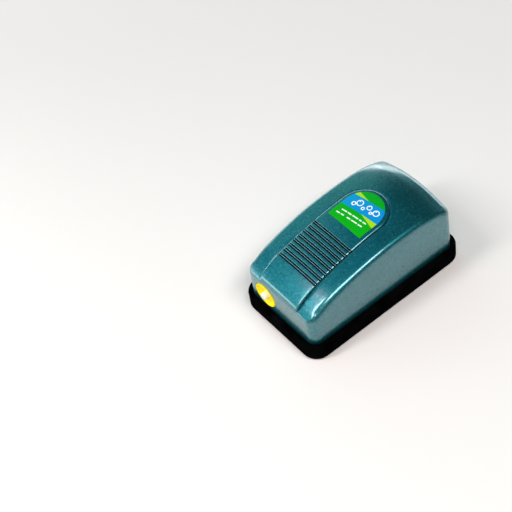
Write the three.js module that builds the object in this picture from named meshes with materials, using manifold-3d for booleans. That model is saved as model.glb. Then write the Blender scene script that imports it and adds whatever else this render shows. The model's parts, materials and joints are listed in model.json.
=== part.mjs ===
// Aquarium air pump with one outlet. A coil drives a magnet on a rocking arm, and the arm works
// a rubber diaphragm over two flap valves. Millimetres, +Z up, the outlet faces -Y, and the
// origin is on the floor at the middle of the footprint.
import * as THREE from "three";
import { mergeVertices } from "three/addons/utils/BufferGeometryUtils.js";
import Module from "manifold-3d";

const wasm = await Module();
wasm.setup();

// ---- Driving dimensions -------------------------------------------------------------------
const GAP = 0.3; // air left between pieces that touch
const WALL = 2.2; // housing wall
const FOOT_REACH = 1.2; // how far the feet stand out below the base boot

// base boot
const BOOT_HALF_X = 34.3;
const BOOT_HALF_Y = 60;
const BOOT_CORNER = 10.3;
const BOOT_TOP = 13;
const BOOT_FLOOR = 4.6; // top of the boot's floor, inside
const FOOT_RECESS_TOP = 2.8; // top of the recess that each foot sits in
const FOOT_RECESS_R = 9.2;
const FOOT_STEM_HOLE_R = 2.8;
const AIR_HOLES_AT = [-4, 30]; // middle of the air holes in the floor
const AIR_HOLE_PITCH_X = 6.4;
const AIR_HOLE_PITCH_Y = 10;

// housing
const HALF_X = 30.9; // at the rim
const HALF_Y = 56.6;
const CORNER = 6.5;
const RIM = BOOT_FLOOR + GAP;
const DRAFT = 0.012; // wall lean, millimetres inwards for each millimetre up
const ROOF_CROWN = 1.4; // how much lower the roof is at CROWN_AT than on its ridge, in front
const CROWN_AT = 28;
const CROWN_GROWTH = 5.0; // and how much is added to that on the way to the rear
const CROWN_GROWS_FROM = -30;
const EDGE_SIDE = 4.0; // rounding of the roof's side edges, up to EDGE_GROWS_FROM
const EDGE_SIDE_FRONT = 5.5; // and at their front ends
const EDGE_GROWS_FROM = -12;
const EDGE_REAR = 8;
const EDGE_FRONT = 2.0;
// ridge of the roof as [y, z]
const RIDGE = [
  [-62, 27.4],
  [-57, 32.9],
  [-50, 38.4],
  [-40, 43.6],
  [-25, 47.9],
  [-5, 51.8],
  [15, 53.8],
  [32, 54.4],
  [44, 53.0],
  [51, 50.9],
  [58, 48.0],
];

// raised tongue on the roof
const TONGUE_FRONT_HALF = 17.0;
const TONGUE_REAR_HALF = 16.5;
const TONGUE_ARCH_Y = 11.6; // centre of the round rear end
const TONGUE_RISE = 1.1;
const TONGUE_NOSE_RISE = 1.9;
const TONGUE_FLANK = 0.5;
const TONGUE_SETBACK = 0.25; // its front end stands this far behind the housing's front face
const GRIP_FIRST_Y = -39.6;
const GRIP_PITCH = 3.91;
const GRIP_COUNT = 8;
const GRIP_SLOT = 1.7;
const GRIP_DEPTH = 0.8;

// label on the tongue
const LABEL_HALF = 14.1;
const LABEL_FRONT = -2.6;
const LABEL_LIFT = 0.35; // its underside above the tongue
const LABEL_THICK = 0.4;

// outlet
const OUTLET_X = -13.2;
const OUTLET_Z = 22.2;
const COLLAR_HALF_X = 9.2;
const COLLAR_HALF_Z = 8.3;
const COLLAR_MOUTH_R = 3.0; // of the hole that the nozzle stands in
const NOZZLE_R = 2.4;
const NOZZLE_PROUD = 1.8; // beyond the collar's face
const NOZZLE_BORE_R = 1.1;
const SPIGOT_R = 2.2;
const HOSE_R = 3.6;
const HOSE_BORE_R = 2.5;

// fasteners and feet
const SCREW_X = 22.5;
const SCREW_Y = 46;
const BOSS_R = 4;
const BOSS_WEB_REACH = 29; // how far to the side the webs of the bosses run
const SCREW_SHANK_R = 1.4;
const SCREW_HEAD_R = 3.0;
const HEAD_RECESS = 1.8; // depth of the recess that each case screw's head sits in
const FOOT_X = 23;
const FOOT_Y = 34;

// bottom plate
const PLATE_BOTTOM = RIM;
const PLATE_TOP = 7.9;

// drive: the arm, its pivot and the magnet
const ARM_X = 12;
const PIVOT_Y = 42;
const ARM_HALF_X = 3;
const ARM_HALF_Z = 5;
const AXIS_Z = 26; // height of the diaphragm's axis, the arm and the poles
const PIN_R = 2;
const CORE_FRONT_Y = -40;
const CORE_YOKE = 7;
const CORE_LEG_LENGTH = 17;
const CORE_HALF_X = 14;
const CORE_SIDE_LEG = 5;
const CORE_MID_LEG = 8;
const CORE_HALF_Z = 7;
const POLE_GAP = 2.4;
const MAGNET_LENGTH = 4;
const ARM_FRONT_Y = CORE_FRONT_Y + CORE_YOKE + CORE_LEG_LENGTH + POLE_GAP + MAGNET_LENGTH + GAP;

// valve box and diaphragm, on one axis along X
const DIAPHRAGM_Y = 14;
const BOX_LEFT = -25;
const BOX_RIGHT = -13;
const BOX_HALF = 13;
const VALVE_PLATE_THICK = 2.5;
const CUP_RIM_R = 12;
const FLAP_LENGTH = 7.4;
const FLAP_WIDTH = 5.6;
const FLAP_THICK = 0.8;
const PORT_R = 1.4;
const PORT_OFFSET = 4.6;

// switch and cord entry in the rear wall
const SWITCH_X = -7;
const SWITCH_Z = 30.5;
const SWITCH_TRAVEL = 4;
const KNOB_HALF_X = 2.2;
const KNOB_HALF_Z = 2.2;
const CORD_X = -3;
const CORD_Z = 18.6;
const CORD_HOLE_R = 4.3;

// ---- Solid helpers ------------------------------------------------------------------------
function closed(geometry) {
  const bare = geometry.clone();
  bare.deleteAttribute("normal");
  bare.deleteAttribute("uv");
  const merged = mergeVertices(bare, 1e-4);
  const corners = merged.index.array;
  const kept = [];
  for (let i = 0; i < corners.length; i += 3) {
    const [a, b, c] = [corners[i], corners[i + 1], corners[i + 2]];
    if (a !== b && b !== c && c !== a) {
      kept.push(a, b, c);
    }
  }
  merged.setIndex(signedVolume(merged, kept) < 0 ? kept.reverse() : kept);
  return merged;
}

function signedVolume(geometry, corners) {
  const point = geometry.attributes.position;
  const [a, b, c] = [new THREE.Vector3(), new THREE.Vector3(), new THREE.Vector3()];
  let sum = 0;
  for (let i = 0; i < corners.length; i += 3) {
    a.fromBufferAttribute(point, corners[i]);
    b.fromBufferAttribute(point, corners[i + 1]);
    c.fromBufferAttribute(point, corners[i + 2]);
    sum += a.dot(b.cross(c));
  }
  return sum;
}

function solid(geometry) {
  const shape = closed(geometry);
  const vertProperties = new Float32Array(shape.attributes.position.array);
  const triVerts = new Uint32Array(shape.index.array);
  return new wasm.Manifold(new wasm.Mesh({ numProp: 3, vertProperties, triVerts }));
}

function faceted(body) {
  const mesh = body.getMesh();
  const geometry = new THREE.BufferGeometry();
  geometry.setAttribute("position", new THREE.BufferAttribute(new Float32Array(mesh.vertProperties), 3));
  geometry.setIndex(new THREE.BufferAttribute(new Uint32Array(mesh.triVerts), 1));
  geometry.computeVertexNormals();
  return geometry;
}

function joined(first, ...others) {
  return others.reduce((whole, other) => whole.add(solid(other)), solid(first));
}

function cutAway(body, ...tools) {
  return tools.reduce((rest, tool) => rest.subtract(solid(tool)), body);
}

function block([x0, x1], [y0, y1], [z0, z1]) {
  const box = new THREE.BoxGeometry(x1 - x0, y1 - y0, z1 - z0);
  return box.translate((x0 + x1) / 2, (y0 + y1) / 2, (z0 + z1) / 2);
}

function rodZ(radius, x, y, [z0, z1], sides = 24) {
  const rod = new THREE.CylinderGeometry(radius, radius, z1 - z0, sides).rotateX(Math.PI / 2);
  return rod.translate(x, y, (z0 + z1) / 2);
}

function rodY(radius, x, z, [y0, y1], sides = 24) {
  const rod = new THREE.CylinderGeometry(radius, radius, y1 - y0, sides);
  return rod.translate(x, (y0 + y1) / 2, z);
}

function rodX(radius, y, z, [x0, x1], sides = 24) {
  const rod = new THREE.CylinderGeometry(radius, radius, x1 - x0, sides).rotateZ(-Math.PI / 2);
  return rod.translate((x0 + x1) / 2, y, z);
}

// a body of revolution about Z from [radius, z] points that start and end on the axis or close
function turned(profile, sides = 24) {
  const points = profile.map(([radius, z]) => new THREE.Vector2(radius, z));
  return closed(new THREE.LatheGeometry(points, sides)).rotateX(Math.PI / 2);
}

// an outline in XY, extruded up from the first height to the second
function plate(points, [z0, z1], holes = []) {
  const shape = new THREE.Shape(points.map(([x, y]) => new THREE.Vector2(x, y)));
  for (const [x, y, radius] of holes) {
    const hole = new THREE.Path();
    hole.absarc(x, y, radius, 0, 2 * Math.PI, true);
    shape.holes.push(hole);
  }
  const settings = { depth: z1 - z0, bevelEnabled: false, curveSegments: 12 };
  return new THREE.ExtrudeGeometry(shape, settings).translate(0, 0, z0);
}

function material(color, roughness, metalness = 0) {
  return new THREE.MeshStandardMaterial({ color, roughness, metalness });
}

function part(name, geometry, surface) {
  const mesh = new THREE.Mesh(geometry, surface);
  mesh.name = name;
  return mesh;
}

// ---- Rounded rectangles in plan, stacked into shells -----------------------------------------
// Each sample of the outline has a foot on the inner rectangle of corner centres and an outward
// direction. Samples run counter-clockwise from the middle of the front, so that sample i and
// sample count - i mirror each other across X = 0. Plain walls take PLAIN_STEPS and the roofed
// forms take more samples along the walls.
const PLAIN_STEPS = [1, 6, 1];
function outline(halfX, halfY, corner, [acrossSteps, cornerSteps, alongSteps]) {
  const footX = halfX - corner;
  const footY = halfY - corner;
  const half = [];
  const straight = (x0, y0, x1, y1, nx, ny, steps) => {
    for (let i = 0; i < steps; i += 1) {
      const t = i / steps;
      half.push({ x: x0 + (x1 - x0) * t, y: y0 + (y1 - y0) * t, nx, ny });
    }
  };
  const turn = (x, y, start, steps) => {
    for (let i = 0; i < steps; i += 1) {
      const angle = start + (Math.PI / 2) * (i / steps);
      half.push({ x, y, nx: Math.cos(angle), ny: Math.sin(angle) });
    }
  };
  straight(0, -footY, footX, -footY, 0, -1, acrossSteps);
  turn(footX, -footY, -Math.PI / 2, cornerSteps);
  straight(footX, -footY, footX, footY, 1, 0, alongSteps);
  turn(footX, footY, 0, cornerSteps);
  straight(footX, footY, 0, footY, 0, 1, acrossSteps);
  half.push({ x: 0, y: footY, nx: 0, ny: 1 });
  const mirrored = half.slice(1, -1).reverse().map((sample) => ({ ...sample, x: -sample.x, nx: -sample.nx }));
  return [...half, ...mirrored];
}

function levelRing(samples, reach, z) {
  return samples.map(({ x, y, nx, ny }) => [x + nx * reach, y + ny * reach, z]);
}

// joins rings of equal length, the lowest first, and closes the first and last across X = 0
function stack(rings) {
  const count = rings[0].length;
  const corners = [];
  for (let ring = 0; ring + 1 < rings.length; ring += 1) {
    for (let i = 0; i < count; i += 1) {
      const next = (i + 1) % count;
      const [a, b] = [ring * count + i, ring * count + next];
      corners.push(a, b, b + count, a, b + count, a + count);
    }
  }
  const last = (rings.length - 1) * count;
  for (let i = 0; i < count / 2; i += 1) {
    const [right, rightNext] = [i, i + 1];
    const [left, leftNext] = [(count - i) % count, count - i - 1];
    corners.push(right, left, leftNext, right, leftNext, rightNext);
    corners.push(last + right, last + leftNext, last + left, last + right, last + rightNext, last + leftNext);
  }
  const geometry = new THREE.BufferGeometry();
  geometry.setAttribute("position", new THREE.Float32BufferAttribute(rings.flat(2), 3));
  geometry.setIndex(corners);
  return closed(geometry);
}

// ---- Roof surface ---------------------------------------------------------------------------
// height of the ridge line: a smooth curve through the RIDGE points
function ridgeHeight(y) {
  const last = RIDGE.length - 2;
  const found = RIDGE.findIndex(([knot]) => y < knot) - 1;
  const i = found < 0 ? (y < RIDGE[0][0] ? 0 : last) : Math.min(found, last);
  const [y0, z0] = RIDGE[i];
  const [y1, z1] = RIDGE[i + 1];
  const span = y1 - y0;
  const t = (y - y0) / span;
  const bulge0 = (ridgeSlope(i) * span - (z1 - z0)) * t * (1 - t) * (1 - t);
  const bulge1 = (ridgeSlope(i + 1) * span - (z1 - z0)) * t * t * (1 - t);
  return z0 + (z1 - z0) * t + bulge0 - bulge1;
}

function ridgeSlope(i) {
  const [y0, z0] = RIDGE[Math.max(i - 1, 0)];
  const [y1, z1] = RIDGE[Math.min(i + 1, RIDGE.length - 1)];
  return (z1 - z0) / (y1 - y0);
}

function roofHeight(x, y) {
  const back = THREE.MathUtils.clamp((y - CROWN_GROWS_FROM) / (HALF_Y - CROWN_GROWS_FROM), 0, 1);
  return ridgeHeight(y) - (ROOF_CROWN + CROWN_GROWTH * back ** 2) * (x / CROWN_AT) ** 2;
}

// The housing's outer form moved inwards by inset. Rings climb the drafted wall, turn over the
// rounded edge and close towards the middle of the roof.
function roofedForm(inset, bottom, outlineSteps, edgeSteps) {
  const corner = CORNER - inset;
  const samples = outline(HALF_X - inset, HALF_Y - inset, corner, outlineSteps);
  const reachAt = (z) => corner - DRAFT * (z - RIM);
  const roof = (x, y) => roofHeight(x, y) - inset;
  const roofSteps = [0.2, 0.5, 0.84];
  const rings = [levelRing(samples, reachAt(bottom), bottom)];
  for (let row = 0; row <= edgeSteps + roofSteps.length; row += 1) {
    rings.push([]);
  }
  for (const { x, y, nx, ny } of samples) {
    const wallPoint = (z) => new THREE.Vector3(x + nx * reachAt(z), y + ny * reachAt(z), z);
    let edge = wallPoint(45);
    for (let i = 0; i < 14; i += 1) {
      edge = wallPoint(roof(edge.x, edge.y));
    }
    const probe = 0.4;
    const rise = (roof(edge.x - nx * probe, edge.y - ny * probe) - edge.z) / probe;
    const up = new THREE.Vector3(-nx * DRAFT, -ny * DRAFT, 1).normalize();
    const over = new THREE.Vector3(-nx, -ny, rise).normalize();
    const halfTurn = up.angleTo(over) / 2;
    const rear = Math.max(ny, 0) ** 2;
    const front = Math.max(-ny, 0) ** 2;
    const ahead = THREE.MathUtils.smoothstep(-y, -EDGE_GROWS_FROM, HALF_Y);
    const side = EDGE_SIDE + (EDGE_SIDE_FRONT - EDGE_SIDE) * ahead;
    const outerRound = side * (1 - rear - front) + EDGE_REAR * rear + EDGE_FRONT * front;
    const round = Math.max(outerRound - inset, 0.8);
    const setback = Math.min(round * Math.tan(halfTurn), corner - 0.6);
    const start = edge.clone().addScaledVector(up, -setback);
    const end = edge.clone().addScaledVector(over, setback);
    end.z = roof(end.x, end.y);
    const weight = Math.cos(halfTurn);
    for (let step = 0; step <= edgeSteps; step += 1) {
      const t = step / edgeSteps;
      const [w0, w1, w2] = [(1 - t) ** 2, 2 * t * (1 - t) * weight, t ** 2];
      const point = new THREE.Vector3().addScaledVector(start, w0);
      point.addScaledVector(edge, w1).addScaledVector(end, w2).divideScalar(w0 + w1 + w2);
      rings[1 + step].push(point.toArray());
    }
    const spineEnd = HALF_Y - 16;
    const spineY = THREE.MathUtils.clamp(end.y, -spineEnd, spineEnd);
    roofSteps.forEach((t, step) => {
      const px = end.x * (1 - t);
      const py = end.y + (spineY - end.y) * t;
      rings[2 + edgeSteps + step].push([px, py, roof(px, py)]);
    });
  }
  return stack(rings);
}

// a tall block with the housing's drafted walls, used to trim what is added inside it
function draftedBlock(inset, [z0, z1]) {
  const corner = CORNER - inset;
  const samples = outline(HALF_X - inset, HALF_Y - inset, corner, PLAIN_STEPS);
  const ring = (z) => levelRing(samples, corner - DRAFT * (z - RIM), z);
  return stack([ring(z0), ring(z1)]);
}

// ---- Raised tongue --------------------------------------------------------------------------
const ACROSS = [-1, -0.5, 0, 0.5, 1]; // shares of the half width at which a section has a point

function tongueHalf(y) {
  if (y > TONGUE_ARCH_Y) {
    return Math.sqrt(Math.max(TONGUE_REAR_HALF ** 2 - (y - TONGUE_ARCH_Y) ** 2, 0));
  }
  const t = (TONGUE_ARCH_Y - y) / (TONGUE_ARCH_Y + HALF_Y);
  return TONGUE_REAR_HALF + (TONGUE_FRONT_HALF - TONGUE_REAR_HALF) * t;
}

function tongueRise(y) {
  const t = THREE.MathUtils.clamp((-10 - y) / 46, 0, 1);
  return TONGUE_RISE + (TONGUE_NOSE_RISE - TONGUE_RISE) * t;
}

// stations along the tongue as [y, depth of the slot there]
function tongueStations() {
  const stations = [-62, -55, -48, -43].map((y) => [y, 0]);
  for (let slot = 0; slot < GRIP_COUNT; slot += 1) {
    const y = GRIP_FIRST_Y + slot * GRIP_PITCH;
    const [low, high] = [y - GRIP_SLOT / 2, y + GRIP_SLOT / 2];
    stations.push([low - 0.1, 0], [low + 0.1, GRIP_DEPTH], [high - 0.1, GRIP_DEPTH], [high + 0.1, 0]);
  }
  for (const y of [-6, 3, TONGUE_ARCH_Y]) {
    stations.push([y, 0]);
  }
  for (let degrees = 15; degrees <= 75; degrees += 15) {
    stations.push([TONGUE_ARCH_Y + TONGUE_REAR_HALF * Math.sin(THREE.MathUtils.degToRad(degrees)), 0]);
  }
  stations.push([TONGUE_ARCH_Y + TONGUE_REAR_HALF * Math.sin(THREE.MathUtils.degToRad(86)), 0]);
  return stations;
}

function tongueForm() {
  const rings = tongueStations().map(([y, depth]) => {
    const half = tongueHalf(y);
    const buried = 1.0;
    const top = ACROSS.map((share) => {
      const x = share * half;
      return [x, y, roofHeight(x, y) + tongueRise(y) - depth];
    });
    const foot = half + TONGUE_FLANK;
    const low = roofHeight(foot, y) - buried;
    return [[-foot, y, low], [foot, y, low], ...top.reverse()];
  });
  return sweptRings(rings);
}

// joins rings of equal length placed one behind the other, with a flat fan at both ends
function sweptRings(rings) {
  const count = rings[0].length;
  const corners = [];
  for (let ring = 0; ring + 1 < rings.length; ring += 1) {
    for (let i = 0; i < count; i += 1) {
      const next = (i + 1) % count;
      const [a, b] = [ring * count + i, ring * count + next];
      corners.push(a, b, b + count, a, b + count, a + count);
    }
  }
  const last = (rings.length - 1) * count;
  for (let i = 1; i + 1 < count; i += 1) {
    corners.push(0, i + 1, i);
    corners.push(last, last + i, last + i + 1);
  }
  const geometry = new THREE.BufferGeometry();
  geometry.setAttribute("position", new THREE.Float32BufferAttribute(rings.flat(2), 3));
  geometry.setIndex(corners);
  return closed(geometry);
}

// ---- Corners that repeat --------------------------------------------------------------------
function fourCorners(x, y) {
  return [[-x, -y], [x, -y], [x, y], [-x, y]];
}

// ---- Outer pieces ---------------------------------------------------------------------------
function housing() {
  const outer = solid(roofedForm(0, RIM, [3, 4, 12], 3));
  const tongue = solid(tongueForm()).intersect(solid(draftedBlock(TONGUE_SETBACK, [RIM, 70])));
  const withinWall = solid(roofedForm(WALL / 2, RIM - 1, [2, 2, 9], 1));
  const hollow = solid(roofedForm(WALL, RIM - 1, [2, 2, 9], 1));
  let shell = outer.add(tongue).subtract(hollow);
  const bossBottom = PLATE_TOP + GAP;
  for (const [x, y] of fourCorners(SCREW_X, SCREW_Y)) {
    const webEnd = Math.sign(x) * BOSS_WEB_REACH;
    const web = block([Math.min(x, webEnd), Math.max(x, webEnd)], [y - 1, y + 1], [bossBottom, 60]);
    const boss = joined(rodZ(BOSS_R, x, y, [bossBottom, 60]), web);
    shell = shell.add(boss.intersect(withinWall));
    shell = cutAway(shell, rodZ(SCREW_SHANK_R + GAP, x, y, [bossBottom - 1, 20], 16));
  }
  const mouth = new THREE.CylinderGeometry(1, 1, 12, 32);
  mouth.scale(COLLAR_HALF_X, 1, COLLAR_HALF_Z).translate(OUTLET_X, -HALF_Y, OUTLET_Z);
  const slotHalf = KNOB_HALF_X + SWITCH_TRAVEL / 2 + GAP;
  const slotZ = [SWITCH_Z - KNOB_HALF_Z - GAP, SWITCH_Z + KNOB_HALF_Z + GAP];
  const slot = block([SWITCH_X - slotHalf, SWITCH_X + slotHalf], [HALF_Y - 6, HALF_Y + 6], slotZ);
  const entry = rodY(CORD_HOLE_R, CORD_X, CORD_Z, [HALF_Y - 8, HALF_Y + 8]);
  shell = cutAway(shell, mouth, slot, entry);
  return part("housing", faceted(shell), material(0x1f6f73, 0.35));
}

function baseBoot() {
  const samples = outline(BOOT_HALF_X, BOOT_HALF_Y, BOOT_CORNER, PLAIN_STEPS);
  const pocket = BOOT_HALF_X - HALF_X - 2 * GAP;
  const profile = [
    [0.9, FOOT_REACH],
    [0, FOOT_REACH + 0.9],
    [0, BOOT_TOP - 2.2],
    [0.35, BOOT_TOP - 0.8],
    [1.2, BOOT_TOP],
    [pocket, BOOT_TOP],
    [pocket, BOOT_FLOOR],
  ];
  let boot = solid(stack(profile.map(([inset, z]) => levelRing(samples, BOOT_CORNER - inset, z))));
  for (const [x, y] of fourCorners(FOOT_X, FOOT_Y)) {
    const recess = rodZ(FOOT_RECESS_R, x, y, [0, FOOT_RECESS_TOP], 22);
    boot = cutAway(boot, recess, rodZ(FOOT_STEM_HOLE_R, x, y, [0, BOOT_FLOOR + 1], 12));
  }
  for (const [x, y] of airHoles()) {
    boot = cutAway(boot, rodZ(1.8, x, y, [0, BOOT_FLOOR + 1], 8));
  }
  return part("base_boot", faceted(boot), material(0x0b0b0c, 0.85));
}

function airHoles() {
  const [middleX, middleY] = AIR_HOLES_AT;
  const columns = [-1, 0, 1].map((step) => middleX + step * AIR_HOLE_PITCH_X);
  return columns.flatMap((x) => [-0.5, 0.5].map((step) => [x, middleY + step * AIR_HOLE_PITCH_Y]));
}

function bottomPlate() {
  const lip = WALL + GAP;
  const slab = stack([PLATE_BOTTOM, PLATE_TOP].map((z) => {
    const samples = outline(HALF_X - lip, HALF_Y - lip, CORNER - lip, PLAIN_STEPS);
    return levelRing(samples, CORNER - lip - DRAFT * (z - RIM), z);
  }));
  let floor = solid(slab);
  for (const [x, y] of corePosts()) {
    floor = floor.add(solid(rodZ(3.4, x, y, [PLATE_TOP - 1, AXIS_Z - CORE_HALF_Z - GAP], 20)));
    floor = cutAway(floor, rodZ(SCREW_SHANK_R + GAP, x, y, [PLATE_TOP + 2, AXIS_Z], 14));
  }
  for (const [x, y] of clampPosts()) {
    floor = floor.add(solid(rodZ(2.8, x, y, [PLATE_TOP - 1, CORD_Z - 0.4], 18)));
    floor = cutAway(floor, rodZ(1.3, x, y, [PLATE_TOP + 3, CORD_Z + 1], 12));
  }
  for (const [x, y] of fourCorners(SCREW_X, SCREW_Y)) {
    const clearance = rodZ(1.9, x, y, [0, PLATE_TOP + 1], 16);
    const headRecess = rodZ(SCREW_HEAD_R + 0.5, x, y, [0, PLATE_BOTTOM + HEAD_RECESS], 20);
    floor = cutAway(floor, clearance, headRecess);
  }
  for (const [x, y] of fourCorners(FOOT_X, FOOT_Y)) {
    floor = cutAway(floor, rodZ(4.3, x, y, [0, PLATE_BOTTOM + 1.6], 20));
  }
  for (const [x, y] of airHoles()) {
    floor = cutAway(floor, rodZ(1.4, x, y, [0, PLATE_TOP + 1], 8));
  }
  return part("bottom_plate", faceted(floor), material(0x17181a, 0.6));
}

function foot(index, x, y) {
  const cup = turned([
    [0, 1.3],
    [4, 1.1],
    [7.2, 0],
    [8.5, 0],
    [8.7, 0.3],
    [7.4, 1.6],
    [2.4, FOOT_RECESS_TOP - GAP],
    [2.4, BOOT_FLOOR + GAP],
    [3.7, BOOT_FLOOR + GAP],
    [3.2, BOOT_FLOOR + 1.4],
    [0, BOOT_FLOOR + 1.4],
  ], 18);
  return part(`foot_${index}`, cup.translate(x, y, 0), material(0x2a2b2d, 0.5));
}

function caseScrew(index, x, y) {
  const headTop = PLATE_BOTTOM + HEAD_RECESS - GAP;
  const shape = turned([
    [0, PLATE_BOTTOM + 0.1],
    [SCREW_HEAD_R - 0.5, PLATE_BOTTOM + 0.1],
    [SCREW_HEAD_R, PLATE_BOTTOM + 0.5],
    [SCREW_HEAD_R, headTop],
    [SCREW_SHANK_R, headTop],
    [SCREW_SHANK_R, 17],
    [0, 18.4],
  ], 16);
  shape.translate(x, y, 0);
  return part(`case_screw_${index}`, crossCut(shape, x, y, PLATE_BOTTOM - 1, PLATE_BOTTOM + 0.9), steel());
}

// cuts a cross recess into a screw head between two heights
function crossCut(shape, x, y, z0, z1) {
  const long = 1.7;
  const thin = 0.35;
  const alongX = block([x - long, x + long], [y - thin, y + thin], [z0, z1]);
  const alongY = block([x - thin, x + thin], [y - long, y + long], [z0, z1]);
  return faceted(cutAway(solid(shape), alongX, alongY));
}

function labelBadge() {
  const arch = TONGUE_ARCH_Y;
  const ys = [LABEL_FRONT, (LABEL_FRONT + arch) / 2, arch];
  for (let degrees = 15; degrees <= 75; degrees += 15) {
    ys.push(arch + LABEL_HALF * Math.sin(THREE.MathUtils.degToRad(degrees)));
  }
  const rings = ys.map((y) => {
    const width = y > arch ? Math.sqrt(LABEL_HALF ** 2 - (y - arch) ** 2) : LABEL_HALF;
    const xs = ACROSS.map((share) => share * width);
    const under = (x) => [x, y, roofHeight(x, y) + tongueRise(y) + LABEL_LIFT];
    const top = (x) => [x, y, under(x)[2] + LABEL_THICK];
    return [...xs.map(under), ...xs.reverse().map(top)];
  });
  return part("label_badge", sweptRings(rings), material(0x18a33a, 0.35));
}

// ---- Outlet ---------------------------------------------------------------------------------
// pieces turned about the outlet's axis are drawn about Z, with z = 0 on the collar's face
function towardsFront(geometry) {
  return geometry.rotateX(Math.PI / 2).translate(OUTLET_X, collarFaceY(), OUTLET_Z);
}

function collarFaceY() {
  return -(HALF_Y - DRAFT * (OUTLET_Z - RIM)) - 0.5;
}

function outletCollar() {
  const behindWall = 0.5 + WALL + 1.0;
  const dish = turned([
    [COLLAR_MOUTH_R, -2.9],
    [5.4, -2.5],
    [7.9, -1.2],
    [8.5, 0],
    [8.9, -0.3],
    [8.9, -behindWall],
    [10.0, -behindWall],
    [10.0, -behindWall - 1.2],
    [COLLAR_MOUTH_R, -behindWall - 1.2],
    [COLLAR_MOUTH_R, -2.9],
  ], 32);
  dish.scale((COLLAR_HALF_X - GAP) / 8.9, (COLLAR_HALF_Z - GAP) / 8.9, 1);
  return part("outlet_collar", towardsFront(dish), material(0xf2d516, 0.4));
}

function outletNozzle() {
  const flange = -0.5 - WALL - 2.5;
  const tube = turned([
    [NOZZLE_BORE_R, NOZZLE_PROUD],
    [NOZZLE_R - 0.6, NOZZLE_PROUD],
    [NOZZLE_R - 0.1, NOZZLE_PROUD - 0.6],
    [NOZZLE_R, -0.2],
    [NOZZLE_R, flange],
    [5.4, flange],
    [5.4, flange - 1.2],
    [SPIGOT_R, flange - 1.2],
    [SPIGOT_R, flange - 9],
    [NOZZLE_BORE_R, flange - 9.4],
    [NOZZLE_BORE_R, NOZZLE_PROUD],
  ], 20);
  return part("outlet_nozzle", towardsFront(tube), material(0xf0f2e6, 0.4));
}

function hoseGeometry() {
  const front = collarFaceY() + 0.5 + WALL + 4.4;
  const rear = DIAPHRAGM_Y - BOX_HALF - 1.0;
  const boxX = (BOX_LEFT + BOX_RIGHT) / 2;
  const start = new THREE.Vector3(boxX, rear, AXIS_Z);
  const bendStart = new THREE.Vector3(boxX, rear - 9, AXIS_Z);
  const bendEnd = new THREE.Vector3(OUTLET_X, front + 9, OUTLET_Z);
  const end = new THREE.Vector3(OUTLET_X, front, OUTLET_Z);
  const path = new THREE.CurvePath();
  path.add(new THREE.LineCurve3(start, bendStart));
  const pull = new THREE.Vector3(0, -12, 0);
  const pulls = [bendStart.clone().add(pull), bendEnd.clone().sub(pull)];
  path.add(new THREE.CubicBezierCurve3(bendStart, ...pulls, bendEnd));
  path.add(new THREE.LineCurve3(bendEnd, end));
  const section = new THREE.Shape().absarc(0, 0, HOSE_R, 0, 2 * Math.PI, false);
  section.holes.push(new THREE.Path().absarc(0, 0, HOSE_BORE_R, 0, 2 * Math.PI, true));
  return new THREE.ExtrudeGeometry(section, { steps: 14, curveSegments: 5, extrudePath: path });
}

function outletHose() {
  return part("outlet_hose", closed(hoseGeometry()), material(0xd8dcdc, 0.45));
}

// ---- Valve box and diaphragm ------------------------------------------------------------------
// pieces turned about the diaphragm's axis are drawn about Z, with z = 0 at X = 0
function alongX(geometry) {
  return geometry.rotateY(Math.PI / 2).translate(0, DIAPHRAGM_Y, AXIS_Z);
}

function valveScrews() {
  return fourCorners(10.6, 10.6).map(([dy, dz]) => [DIAPHRAGM_Y + dy, AXIS_Z + dz]);
}

function valveBox() {
  const y = [DIAPHRAGM_Y - BOX_HALF, DIAPHRAGM_Y + BOX_HALF];
  const z = [AXIS_Z - BOX_HALF, AXIS_Z + BOX_HALF];
  const boxX = (BOX_LEFT + BOX_RIGHT) / 2;
  const bodyBlock = block([BOX_LEFT, BOX_RIGHT], y, z);
  const pedestalY = [DIAPHRAGM_Y - 8, DIAPHRAGM_Y + 8];
  const pedestal = block([BOX_LEFT, BOX_RIGHT], pedestalY, [PLATE_TOP + GAP, z[0] + 1]);
  const spigot = rodY(SPIGOT_R, boxX, AXIS_Z, [y[0] - 8, y[0] + 1]);
  let body = joined(bodyBlock, pedestal, spigot);
  const floorX = BOX_LEFT + 2;
  const roomZ = [AXIS_Z - 6.5, AXIS_Z + 6.5];
  const rooms = [
    block([floorX, BOX_RIGHT + 1], [y[0] + 2.2, DIAPHRAGM_Y - 1], roomZ),
    block([floorX, BOX_RIGHT + 1], [DIAPHRAGM_Y + 1, y[1] - 2.2], roomZ),
  ];
  const outletBore = rodY(NOZZLE_BORE_R, boxX, AXIS_Z, [y[0] - 9, y[0] + 4], 16);
  const inletBore = rodY(2, boxX, AXIS_Z, [y[1] - 4, y[1] + 1], 16);
  body = cutAway(body, ...rooms, outletBore, inletBore);
  for (const [sy, sz] of valveScrews()) {
    body = cutAway(body, rodX(1.4, sy, sz, [BOX_RIGHT - 8, BOX_RIGHT + 1], 8));
  }
  return part("valve_box", faceted(body), material(0xd9dad6, 0.5));
}

function valvePlateX() {
  const left = BOX_RIGHT + GAP;
  return [left, left + VALVE_PLATE_THICK];
}

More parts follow.
